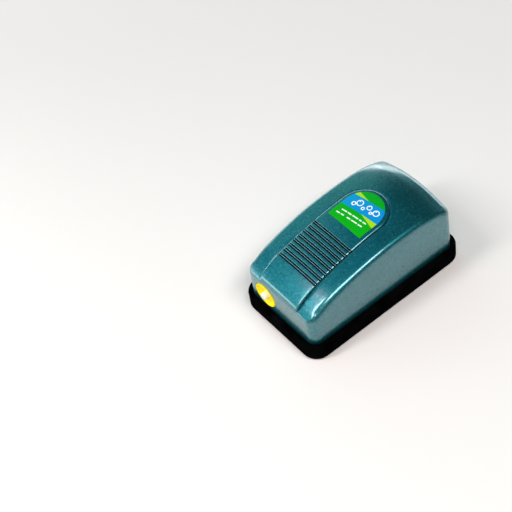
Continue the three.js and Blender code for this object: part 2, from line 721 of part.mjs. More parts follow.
function valvePlate() {
  const [left, right] = valvePlateX();
  const y = [DIAPHRAGM_Y - BOX_HALF, DIAPHRAGM_Y + BOX_HALF];
  const z = [AXIS_Z - BOX_HALF, AXIS_Z + BOX_HALF];
  let slab = solid(block([left, right], y, z));
  for (const side of [-1, 1]) {
    for (const dz of [-1.7, 1.7]) {
      const portY = DIAPHRAGM_Y + side * PORT_OFFSET;
      slab = cutAway(slab, rodX(PORT_R, portY, AXIS_Z + dz, [left - 1, right + 1], 10));
    }
  }
  for (const [sy, sz] of valveScrews()) {
    slab = cutAway(slab, rodX(1.6, sy, sz, [left - 1, right + 1], 10));
  }
  return part("valve_plate", faceted(slab), material(0xcfd0cc, 0.5));
}

// a rubber tongue that lies over two ports and lifts at its lower end
function flap(name, side, faceX) {
  const middle = DIAPHRAGM_Y + side * PORT_OFFSET;
  const x = [faceX, faceX + FLAP_THICK];
  const y = [middle - FLAP_WIDTH / 2, middle + FLAP_WIDTH / 2];
  const z = [AXIS_Z - FLAP_LENGTH / 2, AXIS_Z + FLAP_LENGTH / 2];
  return part(name, block(x, y, z), material(0x8a3b2a, 0.7));
}

function inletFlap() {
  return flap("inlet_flap", 1, valvePlateX()[1] + GAP);
}

function outletFlap() {
  return flap("outlet_flap", -1, valvePlateX()[0] - GAP - FLAP_THICK);
}

// the diaphragm's hub, on the side of the arm
function hubX() {
  return ARM_X - ARM_HALF_X - 1.5 - GAP;
}

function diaphragm() {
  const rim = valvePlateX()[1] + GAP;
  const hub = hubX();
  const shape = turned([
    [CUP_RIM_R, rim],
    [CUP_RIM_R, rim + 1.6],
    [10.2, rim + 1.6],
    [9.4, hub - 4.2],
    [8.2, hub - 1.4],
    [6.6, hub],
    [2.1, hub],
    [2.1, hub - 1.4],
    [6.2, hub - 1.6],
    [8.0, hub - 4.6],
    [8.6, rim],
    [CUP_RIM_R, rim],
  ], 24);
  return part("diaphragm", alongX(shape), material(0x1b1b1d, 0.75));
}

function clampRing() {
  const left = valvePlateX()[1] + GAP + 1.6 + GAP;
  const y = [DIAPHRAGM_Y - BOX_HALF, DIAPHRAGM_Y + BOX_HALF];
  const z = [AXIS_Z - BOX_HALF, AXIS_Z + BOX_HALF];
  const skirt = block([valvePlateX()[1] + GAP, left + 1.8], y, z);
  const seat = rodX(CUP_RIM_R + GAP, DIAPHRAGM_Y, AXIS_Z, [left - 5, left], 24);
  const mouth = rodX(10.7, DIAPHRAGM_Y, AXIS_Z, [left - 1, left + 3], 24);
  let ring = cutAway(solid(skirt), seat, mouth);
  for (const [sy, sz] of valveScrews()) {
    ring = cutAway(ring, rodX(1.6, sy, sz, [left - 5, left + 3], 10));
  }
  return part("clamp_ring", faceted(ring), material(0xd9dad6, 0.5));
}

function valveScrew(index, y, z) {
  const head = valvePlateX()[1] + GAP + 1.6 + GAP + 1.8 + GAP;
  const shape = turned([
    [0, BOX_RIGHT - 6],
    [1.1, BOX_RIGHT - 5],
    [1.1, head],
    [2.2, head],
    [2.0, head + 1.3],
    [0, head + 1.6],
  ], 12);
  return part(`valve_screw_${index}`, shape.rotateY(Math.PI / 2).translate(0, y, z), steel());
}

function diaphragmPlate() {
  const hub = hubX();
  const washer = turned([
    [2.1, hub - 1.4 - GAP - 1.2],
    [5.4, hub - 1.4 - GAP - 1.2],
    [5.4, hub - 1.4 - GAP - 0.5],
    [5.0, hub - 1.4 - GAP],
    [2.1, hub - 1.4 - GAP],
    [2.1, hub - 1.4 - GAP - 1.2],
  ], 20);
  return part("diaphragm_plate", alongX(washer), material(0xc9cac6, 0.4, 0.6));
}

function diaphragmWasher() {
  const hub = hubX();
  const washer = turned([
    [2.1, hub + GAP],
    [6.0, hub + GAP],
    [6.0, hub + GAP + 1.0],
    [2.1, hub + GAP + 1.0],
    [2.1, hub + GAP],
  ], 20);
  return part("diaphragm_washer", alongX(washer), steel());
}

function diaphragmScrew() {
  const head = ARM_X + ARM_HALF_X + GAP;
  const hub = hubX();
  const shape = turned([
    [0, hub - 5.2],
    [1.6, hub - 4.6],
    [1.6, head],
    [3.2, head],
    [3.0, head + 1.5],
    [0, head + 1.9],
  ], 16);
  return part("diaphragm_screw", alongX(shape), steel());
}

// ---- Rocking arm ----------------------------------------------------------------------------
function rockerArm() {
  const z = [AXIS_Z - ARM_HALF_Z, AXIS_Z + ARM_HALF_Z];
  const beam = block([ARM_X - ARM_HALF_X, ARM_X + ARM_HALF_X], [ARM_FRONT_Y, PIVOT_Y], z);
  const eye = rodZ(5.6, ARM_X, PIVOT_Y, z, 28);
  const head = block([ARM_X - 8, ARM_X + 8], [ARM_FRONT_Y, ARM_FRONT_Y + 2], [AXIS_Z - 6, AXIS_Z + 6]);
  let body = joined(beam, eye, head);
  body = cutAway(
    body,
    rodZ(PIN_R + 1.6, ARM_X, PIVOT_Y, [z[0] - 1, z[1] + 1], 24),
    rodX(1.9, DIAPHRAGM_Y, AXIS_Z, [ARM_X - 6, ARM_X + 6], 16),
    block([ARM_X - 1.4, ARM_X + 1.4], [DIAPHRAGM_Y + 5, PIVOT_Y - 9], [z[0] - 1, z[1] + 1]),
    block([ARM_X - 1.4, ARM_X + 1.4], [ARM_FRONT_Y + 4, DIAPHRAGM_Y - 5], [z[0] - 1, z[1] + 1]),
  );
  return part("rocker_arm", faceted(body), material(0x2f3338, 0.5));
}

function magnet() {
  const rear = ARM_FRONT_Y - GAP;
  const shape = block([ARM_X - 8, ARM_X + 8], [rear - MAGNET_LENGTH, rear], [AXIS_Z - 6, AXIS_Z + 6]);
  return part("magnet", shape, material(0x3a3a3d, 0.55, 0.3));
}

function pivotBush() {
  const z = [AXIS_Z - ARM_HALF_Z + 0.2, AXIS_Z + ARM_HALF_Z - 0.2];
  const tube = turned([
    [PIN_R + GAP, z[0]],
    [PIN_R + 1.3, z[0]],
    [PIN_R + 1.3, z[1]],
    [PIN_R + GAP, z[1]],
    [PIN_R + GAP, z[0]],
  ], 24);
  return part("pivot_bush", tube.translate(ARM_X, PIVOT_Y, 0), material(0x5a5148, 0.7));
}

function pivotBracket() {
  const x = [ARM_X - 4.5, ARM_X + 4.5];
  const earY = [PIVOT_Y - 5, 50.5];
  const armLow = AXIS_Z - ARM_HALF_Z - 0.6;
  const armHigh = AXIS_Z + ARM_HALF_Z + 0.6;
  const lower = block(x, earY, [PLATE_TOP + GAP, armLow]);
  const upper = block(x, earY, [armHigh, armHigh + 3]);
  const web = block(x, [48.2, 50.5], [PLATE_TOP + GAP, armHigh + 3]);
  const bore = rodZ(PIN_R + GAP, ARM_X, PIVOT_Y, [12, armHigh + 4], 20);
  return part("pivot_bracket", faceted(cutAway(joined(lower, upper, web), bore)), material(0xbfc1bd, 0.5));
}

function pivotPin() {
  const top = AXIS_Z + ARM_HALF_Z + 0.6 + 3;
  const shape = turned([
    [0, 12 + GAP],
    [PIN_R - 0.4, 12 + GAP],
    [PIN_R, 12 + GAP + 0.5],
    [PIN_R, top + GAP],
    [3.2, top + GAP],
    [3.0, top + 1.4],
    [0, top + 1.6],
  ], 20);
  return part("pivot_pin", shape.translate(ARM_X, PIVOT_Y, 0), steel());
}

// ---- Electromagnet --------------------------------------------------------------------------
function corePosts() {
  const y = CORE_FRONT_Y + CORE_YOKE / 2;
  return [[ARM_X - 11, y], [ARM_X + 11, y]];
}

function coreLamination() {
  const [x0, x1] = [ARM_X - CORE_HALF_X, ARM_X + CORE_HALF_X];
  const [y0, y1] = [CORE_FRONT_Y, CORE_FRONT_Y + CORE_YOKE];
  const tip = y1 + CORE_LEG_LENGTH;
  const [m0, m1] = [ARM_X - CORE_MID_LEG / 2, ARM_X + CORE_MID_LEG / 2];
  const outlineE = [
    [x0, y0], [x1, y0], [x1, tip], [x1 - CORE_SIDE_LEG, tip], [x1 - CORE_SIDE_LEG, y1], [m1, y1],
    [m1, tip], [m0, tip], [m0, y1], [x0 + CORE_SIDE_LEG, y1], [x0 + CORE_SIDE_LEG, tip], [x0, tip],
  ];
  const holes = corePosts().map(([x, y]) => [x, y, 1.9]);
  const shape = plate(outlineE, [AXIS_Z - CORE_HALF_Z, AXIS_Z + CORE_HALF_Z], holes);
  return part("core_lamination", closed(shape), material(0x7d8084, 0.5, 0.7));
}

function coreScrew(index, x, y) {
  const seat = AXIS_Z + CORE_HALF_Z + GAP;
  const shape = turned([
    [0, PLATE_TOP + 3],
    [SCREW_SHANK_R, PLATE_TOP + 4],
    [SCREW_SHANK_R, seat],
    [SCREW_HEAD_R, seat],
    [SCREW_HEAD_R, seat + 1.2],
    [SCREW_HEAD_R - 0.6, seat + 1.8],
    [0, seat + 1.8],
  ], 16);
  shape.translate(x, y, 0);
  return part(`core_screw_${index}`, crossCut(shape, x, y, seat + 1, seat + 3), steel());
}

function bobbinY() {
  const front = CORE_FRONT_Y + CORE_YOKE + GAP;
  return [front, front + CORE_LEG_LENGTH - 1.2];
}

function bobbin() {
  const [y0, y1] = bobbinY();
  const tubeX = CORE_MID_LEG / 2 + GAP + 0.8;
  const tubeZ = CORE_HALF_Z + GAP + 0.8;
  const tube = block([ARM_X - tubeX, ARM_X + tubeX], [y0, y1], [AXIS_Z - tubeZ, AXIS_Z + tubeZ]);
  const flangeX = [ARM_X - 8.6, ARM_X + 8.6];
  const flangeZ = [AXIS_Z - 12, AXIS_Z + 12];
  const front = block(flangeX, [y0, y0 + 1], flangeZ);
  const rear = block(flangeX, [y1 - 1, y1], flangeZ);
  const legX = [ARM_X - CORE_MID_LEG / 2 - GAP, ARM_X + CORE_MID_LEG / 2 + GAP];
  const legZ = [AXIS_Z - CORE_HALF_Z - GAP, AXIS_Z + CORE_HALF_Z + GAP];
  const opening = block(legX, [y0 - 1, y1 + 1], legZ);
  return part("bobbin", faceted(cutAway(joined(tube, front, rear), opening)), material(0xe8e4d2, 0.5));
}

function coilWinding() {
  const [y0, y1] = bobbinY();
  const rounded = (halfX, halfZ, corner) => {
    const shape = new THREE.Shape();
    shape.moveTo(halfX, halfZ - corner);
    shape.absarc(halfX - corner, halfZ - corner, corner, 0, Math.PI / 2, false);
    shape.absarc(corner - halfX, halfZ - corner, corner, Math.PI / 2, Math.PI, false);
    shape.absarc(corner - halfX, corner - halfZ, corner, Math.PI, 1.5 * Math.PI, false);
    shape.absarc(halfX - corner, corner - halfZ, corner, 1.5 * Math.PI, 2 * Math.PI, false);
    return shape;
  };
  const outer = rounded(8.2, 11.4, 2.4);
  const inner = rounded(CORE_MID_LEG / 2 + 1.4, CORE_HALF_Z + 1.4, 0.3);
  outer.holes.push(new THREE.Path(inner.getPoints(3)));
  const depth = y1 - y0 - 2 - 2 * GAP;
  const ring = new THREE.ExtrudeGeometry(outer, { depth, bevelEnabled: false, curveSegments: 5 });
  ring.rotateX(Math.PI / 2).translate(ARM_X, y1 - 1 - GAP, AXIS_Z);
  return part("coil_winding", closed(ring), material(0xb4642c, 0.4, 0.5));
}

// ---- Air filter ------------------------------------------------------------------------------
function airFilter() {
  const z = [PLATE_TOP + GAP, PLATE_TOP + GAP + 3];
  return part("air_filter", block([-15, 7], [23.5, 36.5], z), material(0xe6e6e0, 0.95));
}

// ---- Switch and cord entry --------------------------------------------------------------------
function rearWallY(z) {
  return HALF_Y - DRAFT * (z - RIM);
}

// rear face of the switch body, just inside the wall
function switchBackY() {
  return rearWallY(SWITCH_Z + 6) - WALL - 0.6;
}

function switchBody() {
  const back = switchBackY();
  const z = [SWITCH_Z - 5.5, SWITCH_Z + 5.5];
  const shell = block([SWITCH_X - 9, SWITCH_X + 9], [back - 6.5, back], z);
  const halfX = KNOB_HALF_X + SWITCH_TRAVEL / 2 + 1 + GAP;
  const roomZ = [SWITCH_Z - 3.3, SWITCH_Z + 3.3];
  const room = block([SWITCH_X - halfX, SWITCH_X + halfX], [back - 4.5, back + 1], roomZ);
  const pins = [-4, 0, 4].map((dx) => block(
    [SWITCH_X + dx - 0.8, SWITCH_X + dx + 0.8], [back - 10, back - 6], [SWITCH_Z - 0.3, SWITCH_Z + 0.3],
  ));
  let body = cutAway(solid(shell), room);
  for (const pin of pins) {
    body = body.add(solid(pin));
  }
  return part("switch_body", faceted(body), material(0x222326, 0.5));
}

function switchSlider() {
  const back = switchBackY();
  const x = SWITCH_X - SWITCH_TRAVEL / 2;
  const face = rearWallY(SWITCH_Z) + 1.4;
  const z = [SWITCH_Z - KNOB_HALF_Z, SWITCH_Z + KNOB_HALF_Z];
  const knob = block([x - KNOB_HALF_X, x + KNOB_HALF_X], [back - 3, face], z);
  const carriageX = [x - KNOB_HALF_X - 1, x + KNOB_HALF_X + 1];
  const carriage = block(carriageX, [back - 4.2, back - 2], [z[0] - 0.8, z[1] + 0.8]);
  let body = joined(knob, carriage);
  for (const dx of [-1.3, 0, 1.3]) {
    body = cutAway(body, block([x + dx - 0.25, x + dx + 0.25], [face - 0.4, face + 1], [z[0] - 1, z[1] + 1]));
  }
  return part("switch_slider", faceted(body), material(0x101113, 0.5));
}

function diode() {
  const length = 5;
  const shape = turned([
    [0, -length / 2 - 3],
    [0.4, -length / 2 - 3],
    [0.4, -length / 2],
    [1.4, -length / 2],
    [1.4, length / 2],
    [0.4, length / 2],
    [0.4, length / 2 + 3],
    [0, length / 2 + 3],
  ], 12);
  const y = switchBackY() - 12;
  return part("diode", shape.rotateY(Math.PI / 2).translate(SWITCH_X, y, SWITCH_Z), material(0x1a1a1a, 0.4));
}

function cordGrommet() {
  const wall = rearWallY(CORD_Z);
  const body = turned([
    [0, -WALL - 2.6],
    [5.4, -WALL - 2.6],
    [5.4, -WALL - GAP],
    [4.0, -WALL - GAP],
    [4.0, GAP],
    [5.6, GAP],
    [5.2, 1.5],
    [3.8, 2.4],
    [0, 2.4],
  ], 28);
  const slot = block([-1, 1], [-1.7, 1.7], [-10, 10]);
  const ends = [-1, 1].map((side) => rodZ(1.7, side, 0, [-10, 10], 16));
  const shape = faceted(cutAway(solid(body), slot, ...ends));
  shape.rotateX(-Math.PI / 2).translate(CORD_X, wall, CORD_Z);
  return part("cord_grommet", shape, material(0x141416, 0.8));
}

function clampPosts() {
  return [[CORD_X - 6, 45], [CORD_X + 6, 45]];
}

function cordClamp() {
  const z = [CORD_Z, CORD_Z + 2.4];
  const bar = block([CORD_X - 9, CORD_X + 9], [42.2, 47.8], z);
  const bores = clampPosts().map(([x, y]) => rodZ(1.6, x, y, [z[0] - 1, z[1] + 1], 14));
  return part("cord_clamp", faceted(cutAway(solid(bar), ...bores)), material(0xd6d2c4, 0.5));
}

function clampScrew(index, x, y) {
  const seat = CORD_Z + 2.4 + GAP;
  const shape = turned([
    [0, CORD_Z - 7],
    [1.0, CORD_Z - 6],
    [1.0, seat],
    [2.4, seat],
    [2.2, seat + 1.4],
    [0, seat + 1.6],
  ], 12);
  return part(`clamp_screw_${index}`, shape.translate(x, y, 0), steel());
}

// ---- Leads ------------------------------------------------------------------------------------
function lead(name, points, color) {
  const path = new THREE.CatmullRomCurve3(points.map(([x, y, z]) => new THREE.Vector3(x, y, z)));
  const section = new THREE.Shape().absarc(0, 0, 0.8, 0, 2 * Math.PI, false);
  const tube = new THREE.ExtrudeGeometry(section, { steps: 22, curveSegments: 4, extrudePath: path });
  return part(name, closed(tube), material(color, 0.5));
}

function coilLead() {
  const y = bobbinY()[1] + 0.5;
  return lead("coil_lead", [
    [5.5, y, 15.5],
    [5, -10, 11.5],
    [5.2, 0, 10.2],
    [5.2, 12, 10.2],
    [4.6, 20, 12],
    [2, 28, 14.2],
    [-1, 36, 15.6],
    [CORD_X, 44, 15.8],
  ], 0x1d4f9e);
}

function switchLead() {
  const y = bobbinY()[1] + 0.5;
  const end = switchBackY() - 8.7;
  return lead("switch_lead", [
    [17, y, 15.5],
    [14, -9, 12],
    [9, 0, 10.6],
    [8.2, 14, 10.4],
    [7.5, 23, 13.5],
    [1, 32, 17],
    [-6, 39, 21],
    [SWITCH_X, end, SWITCH_Z - 1.5],
  ], 0x8a4a1c);
}

function steel() {
  return material(0xb9bcc0, 0.35, 0.9);
}

// ---- Assembly ---------------------------------------------------------------------------------
const group = new THREE.Group();
group.add(housing(), baseBoot(), bottomPlate(), labelBadge());
group.add(outletCollar(), outletNozzle(), outletHose());
group.add(valveBox(), valvePlate(), inletFlap(), outletFlap(), diaphragm(), clampRing());
group.add(diaphragmPlate(), diaphragmWasher(), diaphragmScrew());
group.add(rockerArm(), magnet(), pivotBush(), pivotBracket(), pivotPin());
group.add(coreLamination(), bobbin(), coilWinding());
group.add(airFilter(), switchBody(), switchSlider(), diode(), cordGrommet(), cordClamp());
group.add(coilLead(), switchLead());
fourCorners(FOOT_X, FOOT_Y).forEach(([x, y], i) => group.add(foot(i + 1, x, y)));
fourCorners(SCREW_X, SCREW_Y).forEach(([x, y], i) => group.add(caseScrew(i + 1, x, y)));
valveScrews().forEach(([y, z], i) => group.add(valveScrew(i + 1, y, z)));
corePosts().forEach(([x, y], i) => group.add(coreScrew(i + 1, x, y)));
clampPosts().forEach(([x, y], i) => group.add(clampScrew(i + 1, x, y)));

export default group;
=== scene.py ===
# Looks of an aquarium air pump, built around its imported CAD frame. Shapes are worked out in
# millimetres and become metres as each mesh is made. +Z is up and the outlet faces -Y.
import json
import math

import bmesh
import bpy
from mathutils import Matrix, Vector


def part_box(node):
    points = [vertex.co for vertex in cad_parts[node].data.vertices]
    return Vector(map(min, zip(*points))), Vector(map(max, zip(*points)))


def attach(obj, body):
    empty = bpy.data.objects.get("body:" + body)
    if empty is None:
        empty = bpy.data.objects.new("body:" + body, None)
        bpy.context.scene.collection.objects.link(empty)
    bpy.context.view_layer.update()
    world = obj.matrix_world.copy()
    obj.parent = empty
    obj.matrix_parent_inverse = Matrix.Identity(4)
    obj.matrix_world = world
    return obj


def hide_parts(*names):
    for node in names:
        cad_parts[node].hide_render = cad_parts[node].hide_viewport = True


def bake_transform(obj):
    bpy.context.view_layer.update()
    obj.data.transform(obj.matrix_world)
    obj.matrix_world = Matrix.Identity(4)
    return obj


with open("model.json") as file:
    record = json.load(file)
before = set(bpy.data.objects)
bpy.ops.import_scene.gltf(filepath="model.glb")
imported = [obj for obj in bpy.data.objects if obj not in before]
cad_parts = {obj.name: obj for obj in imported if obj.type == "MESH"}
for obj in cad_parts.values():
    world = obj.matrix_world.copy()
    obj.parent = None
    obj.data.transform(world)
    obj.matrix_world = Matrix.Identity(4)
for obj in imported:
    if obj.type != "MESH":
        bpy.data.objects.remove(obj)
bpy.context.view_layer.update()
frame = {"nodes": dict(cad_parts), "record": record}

MM = 0.001


def extent(node):
    """The lowest and highest corner of a CAD node, in millimetres."""
    low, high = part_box(node)
    return low / MM, high / MM


# ---- Driving dimensions, in millimetres ------------------------------------------------------
HOUSING_LOW, HOUSING_HIGH = extent("housing")
HALF_X = HOUSING_HIGH.x
HALF_Y = HOUSING_HIGH.y
RIM = HOUSING_LOW.z
CORNER = 6.5
WALL = 2.2
DRAFT = 0.012  # wall lean, inwards for each millimetre up
ROOF_CROWN = 1.4  # how much lower the roof is at CROWN_AT than on its ridge, in front
CROWN_AT = 28.0
CROWN_GROWTH = 5.0  # and how much is added to that on the way to the rear
CROWN_GROWS_FROM = -30.0
EDGE_SIDE = 4.0  # rounding of the roof's side edges, up to EDGE_GROWS_FROM
EDGE_SIDE_FRONT = 5.5  # and at their front ends
EDGE_GROWS_FROM = -12.0
EDGE_REAR = 8.0
EDGE_FRONT = 2.0
RIDGE = [  # ridge of the roof as (y, z)
    (-62, 27.4), (-57, 32.9), (-50, 38.4), (-40, 43.6), (-25, 47.9),
    (-5, 51.8), (15, 53.8), (32, 54.4), (44, 53.0), (51, 50.9), (58, 48.0),
]

EDGE_LEAST = 0.8  # the rounding is never less than this
EDGE_MARGIN = 0.6  # and stays this far inside the corner radius
SPINE_SETBACK = 16.0  # how far the spine of the roof's faces ends from the outer walls

TONGUE_FRONT_HALF = 17.0
TONGUE_REAR_HALF = 16.5
ARCH_Y = 11.6  # centre of the round rear end
TONGUE_RISE = 1.1
TONGUE_NOSE_RISE = 1.9
RISE_GROWS_FROM = -10.0
RISE_GROWS_OVER = 46.0
TONGUE_FLANK = 0.35
TONGUE_EDGE = 0.65  # width of the chamfer on its upper edge
TONGUE_EDGE_DROP = 0.36
TONGUE_FRONT_EDGE = 1.5  # its front edge is rounded instead
TONGUE_CORNER = 1.2
TONGUE_SETBACK = 0.25
NOSE_HEIGHT = 28.0  # of the tongue's front edge above the rim
TONGUE_BURIED = 2.0  # how far its foot reaches below the roof
NOSE_BURIED = 2.2  # and how much further in front
CHANNEL_WIDTH = 0.5  # of the narrow channel along its foot
CHANNEL_DEPTH = 0.45
CHANNEL_AHEAD = 0.3  # how far its cutter stays behind the tongue's front
CHANNEL_SHADE = 0.25  # how dark the channel's painted shade is beside a groove's, which counts as 1
GRIP_FIRST_Y = -39.6
GRIP_PITCH = 3.91
GRIP_COUNT = 8
GRIP_PAIR = 1.3  # distance between the two grooves of a grip
GRIP_WIDTH = 0.9
GRIP_DEPTH = 1.3
GRIP_CHAMFER = 0.12
FAN_SETBACK = 12.0  # how far behind a tongue's front the spine of its top faces starts

LABEL_HALF = 14.1
LABEL_FRONT = -2.6
LABEL_CORNER = 0.5
LABEL_THICK = 0.3
LABEL_FAN_SETBACK = 8.0

BOOT_LOW, BOOT_HIGH = extent("base_boot")
BOOT_CORNER = 10.3
BOOT_FLOOR = 4.6
BOOT_SOLE_INSET = 4.0  # of the flat face under it
BOOT_LOWER_ROUND = 1.1
BOOT_UPPER_ROUND = 1.6
BOOT_LIP_ROUND = 0.35
FOOT_RECESS = 9.2  # radius
FOOT_RECESS_TOP = 2.8
FOOT_STEM_HOLE = 2.8  # radius
AIR_HOLE = 1.8  # radius
AIR_HOLES_X = (-10.4, -4.0, 2.4)
AIR_HOLES_Y = (25.0, 35.0)
GAP = 0.3

SCREW_X = 22.5
SCREW_Y = 46.0
BOSS_BOTTOM = 8.2
BOSS_RADIUS = 4.0
BOSS_HOLE = 1.7  # radius
BOSS_HOLE_TOP = 20.0
WEB_END = 29.0  # distance of a web's outer end from the middle
WEB_HALF = 1.0
ABOVE_ROOF = 60.0

MOUTH_HALF_X = 9.2  # of the oval opening for the outlet collar
MOUTH_HALF_Z = 8.3
COLLAR_RADIUS = 10.0  # of its profile, which is then stretched to the oval
NOZZLE_RADIUS = 2.4
NOZZLE_TAPER = 0.1
NOZZLE_BORE = 1.1  # radius
NOZZLE_FLANGE_AT = 7.0  # distance from its end
NOZZLE_FLANGE = 5.4  # radius
NOZZLE_FLANGE_THICK = 1.2
NOZZLE_SPIGOT = 2.2  # radius
CORD_HOLE = 4.3  # radius
CORD_SLOT_HALF_X = 2.7  # of the slot through the grommet
CORD_SLOT_HALF_Z = 1.7
CORD_SLOT_ROUND = 1.6
SLIDER_HALF = 2.2
SLIDER_TRAVEL = 4.0
SLIDER_BURIED = 1.2  # how far its knob starts inside the carriage
CARRIAGE_HALF_X = 3.2
CARRIAGE_HALF_Z = 3.0
CARRIAGE_THICK = 2.2
SLIDER_GROOVES = (-1.3, 0.0, 1.3)
SLIDER_GROOVE_HALF = 0.28
SLIDER_GROOVE_DEPTH = 0.45

PAINTED_SHADE_ATTRIBUTE = "painted_shade"  # name of the attribute that tells the housing's plastic where to paint shade in its grooves and channel
MERGE_DISTANCE = 1e-4
LEVEL_TOLERANCE = 0.01
SHARP_ANGLE = 32.0  # degrees: faces that meet at less are shaded as one surface


# ---- Mesh helpers ----------------------------------------------------------------------------
def scene_object(name, data):
    """Puts a mesh, a lamp or a camera in the scene."""
    item = bpy.data.objects.new(name, data)
    bpy.context.scene.collection.objects.link(item)
    return item


def new_object(name, points, faces):
    """An object whose mesh is in millimetres until finish_piece() scales it."""
    mesh = bpy.data.meshes.new(name)
    mesh.from_pydata([tuple(p) for p in points], [], faces)
    piece = scene_object(name, mesh)
    clean(piece)
    return piece


def clean(piece):
    """Merges points that coincide and turns all faces outwards."""
    work = bmesh.new()
    work.from_mesh(piece.data)
    bmesh.ops.remove_doubles(work, verts=work.verts, dist=MERGE_DISTANCE)
    bmesh.ops.dissolve_degenerate(work, edges=work.edges, dist=MERGE_DISTANCE)
    bmesh.ops.recalc_face_normals(work, faces=work.faces)
    work.to_mesh(piece.data)
    work.free()


def apply_modifiers(piece):
    """Turns the result of a piece's modifiers into its mesh."""
    shown = bpy.context.evaluated_depsgraph_get()
    mesh = bpy.data.meshes.new_from_object(piece.evaluated_get(shown))
    piece.modifiers.clear()
    old = piece.data
    piece.data = mesh
    bpy.data.meshes.remove(old)


def boolean(piece, tool, operation):
    """Joins or cuts a closed mesh with another, which is used up."""
    step = piece.modifiers.new("step", "BOOLEAN")
    step.solver = "MANIFOLD"
    step.operation = operation
    step.object = tool
    apply_modifiers(piece)
    bpy.data.objects.remove(tool)


def finish_piece(piece, body, slot, replaced):
    """Scales a piece to metres, shades it and fixes it to its body, if it rides on one alone."""
    piece.data.transform(Matrix.Scale(MM, 4))
    piece.data.shade_smooth()
    piece.data.set_sharp_from_angle(angle=math.radians(SHARP_ANGLE))
    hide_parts(*replaced)
    if body:
        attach(piece, body)
    piece.data.materials.clear()
    piece.data.materials.append(MATERIALS[slot])
    return piece


def ring_stack(name, rings, close_ends=True):
    """Joins closed rings of equal length, the first and last closed by a face."""
    count = len(rings[0])
    faces = side_faces(len(rings), count)
    if close_ends:
        last = (len(rings) - 1) * count
        faces.append(tuple(reversed(range(count))))
        faces.append(tuple(last + i for i in range(count)))
    return new_object(name, [p for ring in rings for p in ring], faces)


def side_faces(levels, count):
    """Quads that join a stack of closed rings, each of count points."""
    faces = []
    for level in range(levels - 1):
        for i in range(count):
            a = level * count + i
            b = level * count + (i + 1) % count
            faces.append((a, b, b + count, a + count))
    return faces


def lathe(name, profile, sides, place):
    """Turns a (radius, height) profile about its axis: place(x, y, height) gives each point's place.
    A profile that starts on the axis ends there too, and its points on the axis merge."""
    rings = []
    for radius, height in profile:
        turn = [2 * math.pi * i / sides for i in range(sides)]
        rings.append([place(radius * math.cos(t), radius * math.sin(t), height) for t in turn])
    starts_on_axis = profile[0][0] == 0
    if not starts_on_axis:
        rings.append(rings[0])
    return ring_stack(name, rings, close_ends=False)


def rounded(corners, steps=4):
    """The profile through (across, along, radius) corners, each rounded by its radius."""
    points = [Vector(corner[:2]) for corner in corners]
    path = []
    for i, here in enumerate(points):
        radius = corners[i][2]
        if radius == 0:
            path.append(tuple(here))
            continue
        to_before = (points[i - 1] - here).normalized()
        to_after = (points[(i + 1) % len(points)] - here).normalized()
        half = to_before.angle(to_after) / 2
        setback = radius / math.tan(half)
        start = here + to_before * setback
        end = here + to_after * setback
        path += [tuple(p) for p in conic(start, here, end, math.sin(half), steps)]
    return path


def conic(start, corner, end, weight, steps):
    """Points of a rounded corner, from start to end. A greater weight pulls them to the corner."""
    points = []
    for k in range(steps + 1):
        t = k / steps
        at_start = (1 - t) ** 2
        at_corner = 2 * t * (1 - t) * weight
        at_end = t ** 2
        total = at_start + at_corner + at_end
        points.append((start * at_start + corner * at_corner + end * at_end) / total)
    return points


def rod(name, radius, centre, low, high, sides=48):
    """A closed upright cylinder for cutting or joining."""
    x, y = centre
    profile = [(0, low), (radius, low), (radius, high), (0, high)]
    return lathe(name, profile, sides, lambda px, py, z: (x + px, y + py, z))


def block(name, low, high, bevel=0.0, segments=3):
    """A box between two corners with rounded edges."""
    work = bmesh.new()
    bmesh.ops.create_cube(work, size=1)
    size = Vector(high) - Vector(low)
    middle = (Vector(high) + Vector(low)) / 2
    bmesh.ops.scale(work, vec=size, verts=work.verts)
    bmesh.ops.translate(work, vec=middle, verts=work.verts)
    if bevel:
        bmesh.ops.bevel(
            work, geom=work.edges, offset=bevel, segments=segments, profile=0.5, affect="EDGES",
        )
    mesh = bpy.data.meshes.new(name)
    work.to_mesh(mesh)
    work.free()
    return scene_object(name, mesh)


def along_y(middle, start, stretch_x=1, stretch_z=1):
    """Where lathe() puts a profile whose axis runs along Y from start towards the rear."""
    def place(px, py, h):
        return (middle.x + px * stretch_x, start + h, middle.z + py * stretch_z)

    return place


def four_corners(x, y):
    return [(-x, -y), (x, -y), (x, y), (-x, y)]


# ---- Outlines in plan ------------------------------------------------------------------------
# A sample is (x, y, nx, ny): a foot point and the outward direction there. Samples run
# counter-clockwise from the middle of the front.
def rectangle_samples(half_x, half_y, corner, steps):
    """The outline of a rectangle without its corner radius, to which each use adds its own reach."""
    across, turning, along = steps
    foot_x = half_x - corner
    foot_y = half_y - corner
    half = [(foot_x * i / across, -foot_y, 0.0, -1.0) for i in range(across)]
    half += turn_samples(foot_x, -foot_y, 0, -90, turning)
    half += [(foot_x, -foot_y + 2 * foot_y * i / along, 1.0, 0.0) for i in range(along)]
    half += turn_samples(foot_x, foot_y, 0, 0, turning)
    half += [(foot_x * (1 - i / across), foot_y, 0.0, 1.0) for i in range(across)]
    return mirrored(half + [(0.0, foot_y, 0.0, 1.0)])


def turn_samples(x, y, radius, start, steps):
    """A quarter turn about (x, y) from the start angle, in degrees."""
    samples = []
    for i in range(steps):
        angle = math.radians(start + 90 * i / steps)
        nx = math.cos(angle)
        ny = math.sin(angle)
        samples.append((x + radius * nx, y + radius * ny, nx, ny))
    return samples


def mirrored(half):
    """Adds the left half to samples that run from the front's middle to the rear's middle."""
    left = [(-x, y, -nx, ny) for x, y, nx, ny in reversed(half[1:-1])]
    return half + left


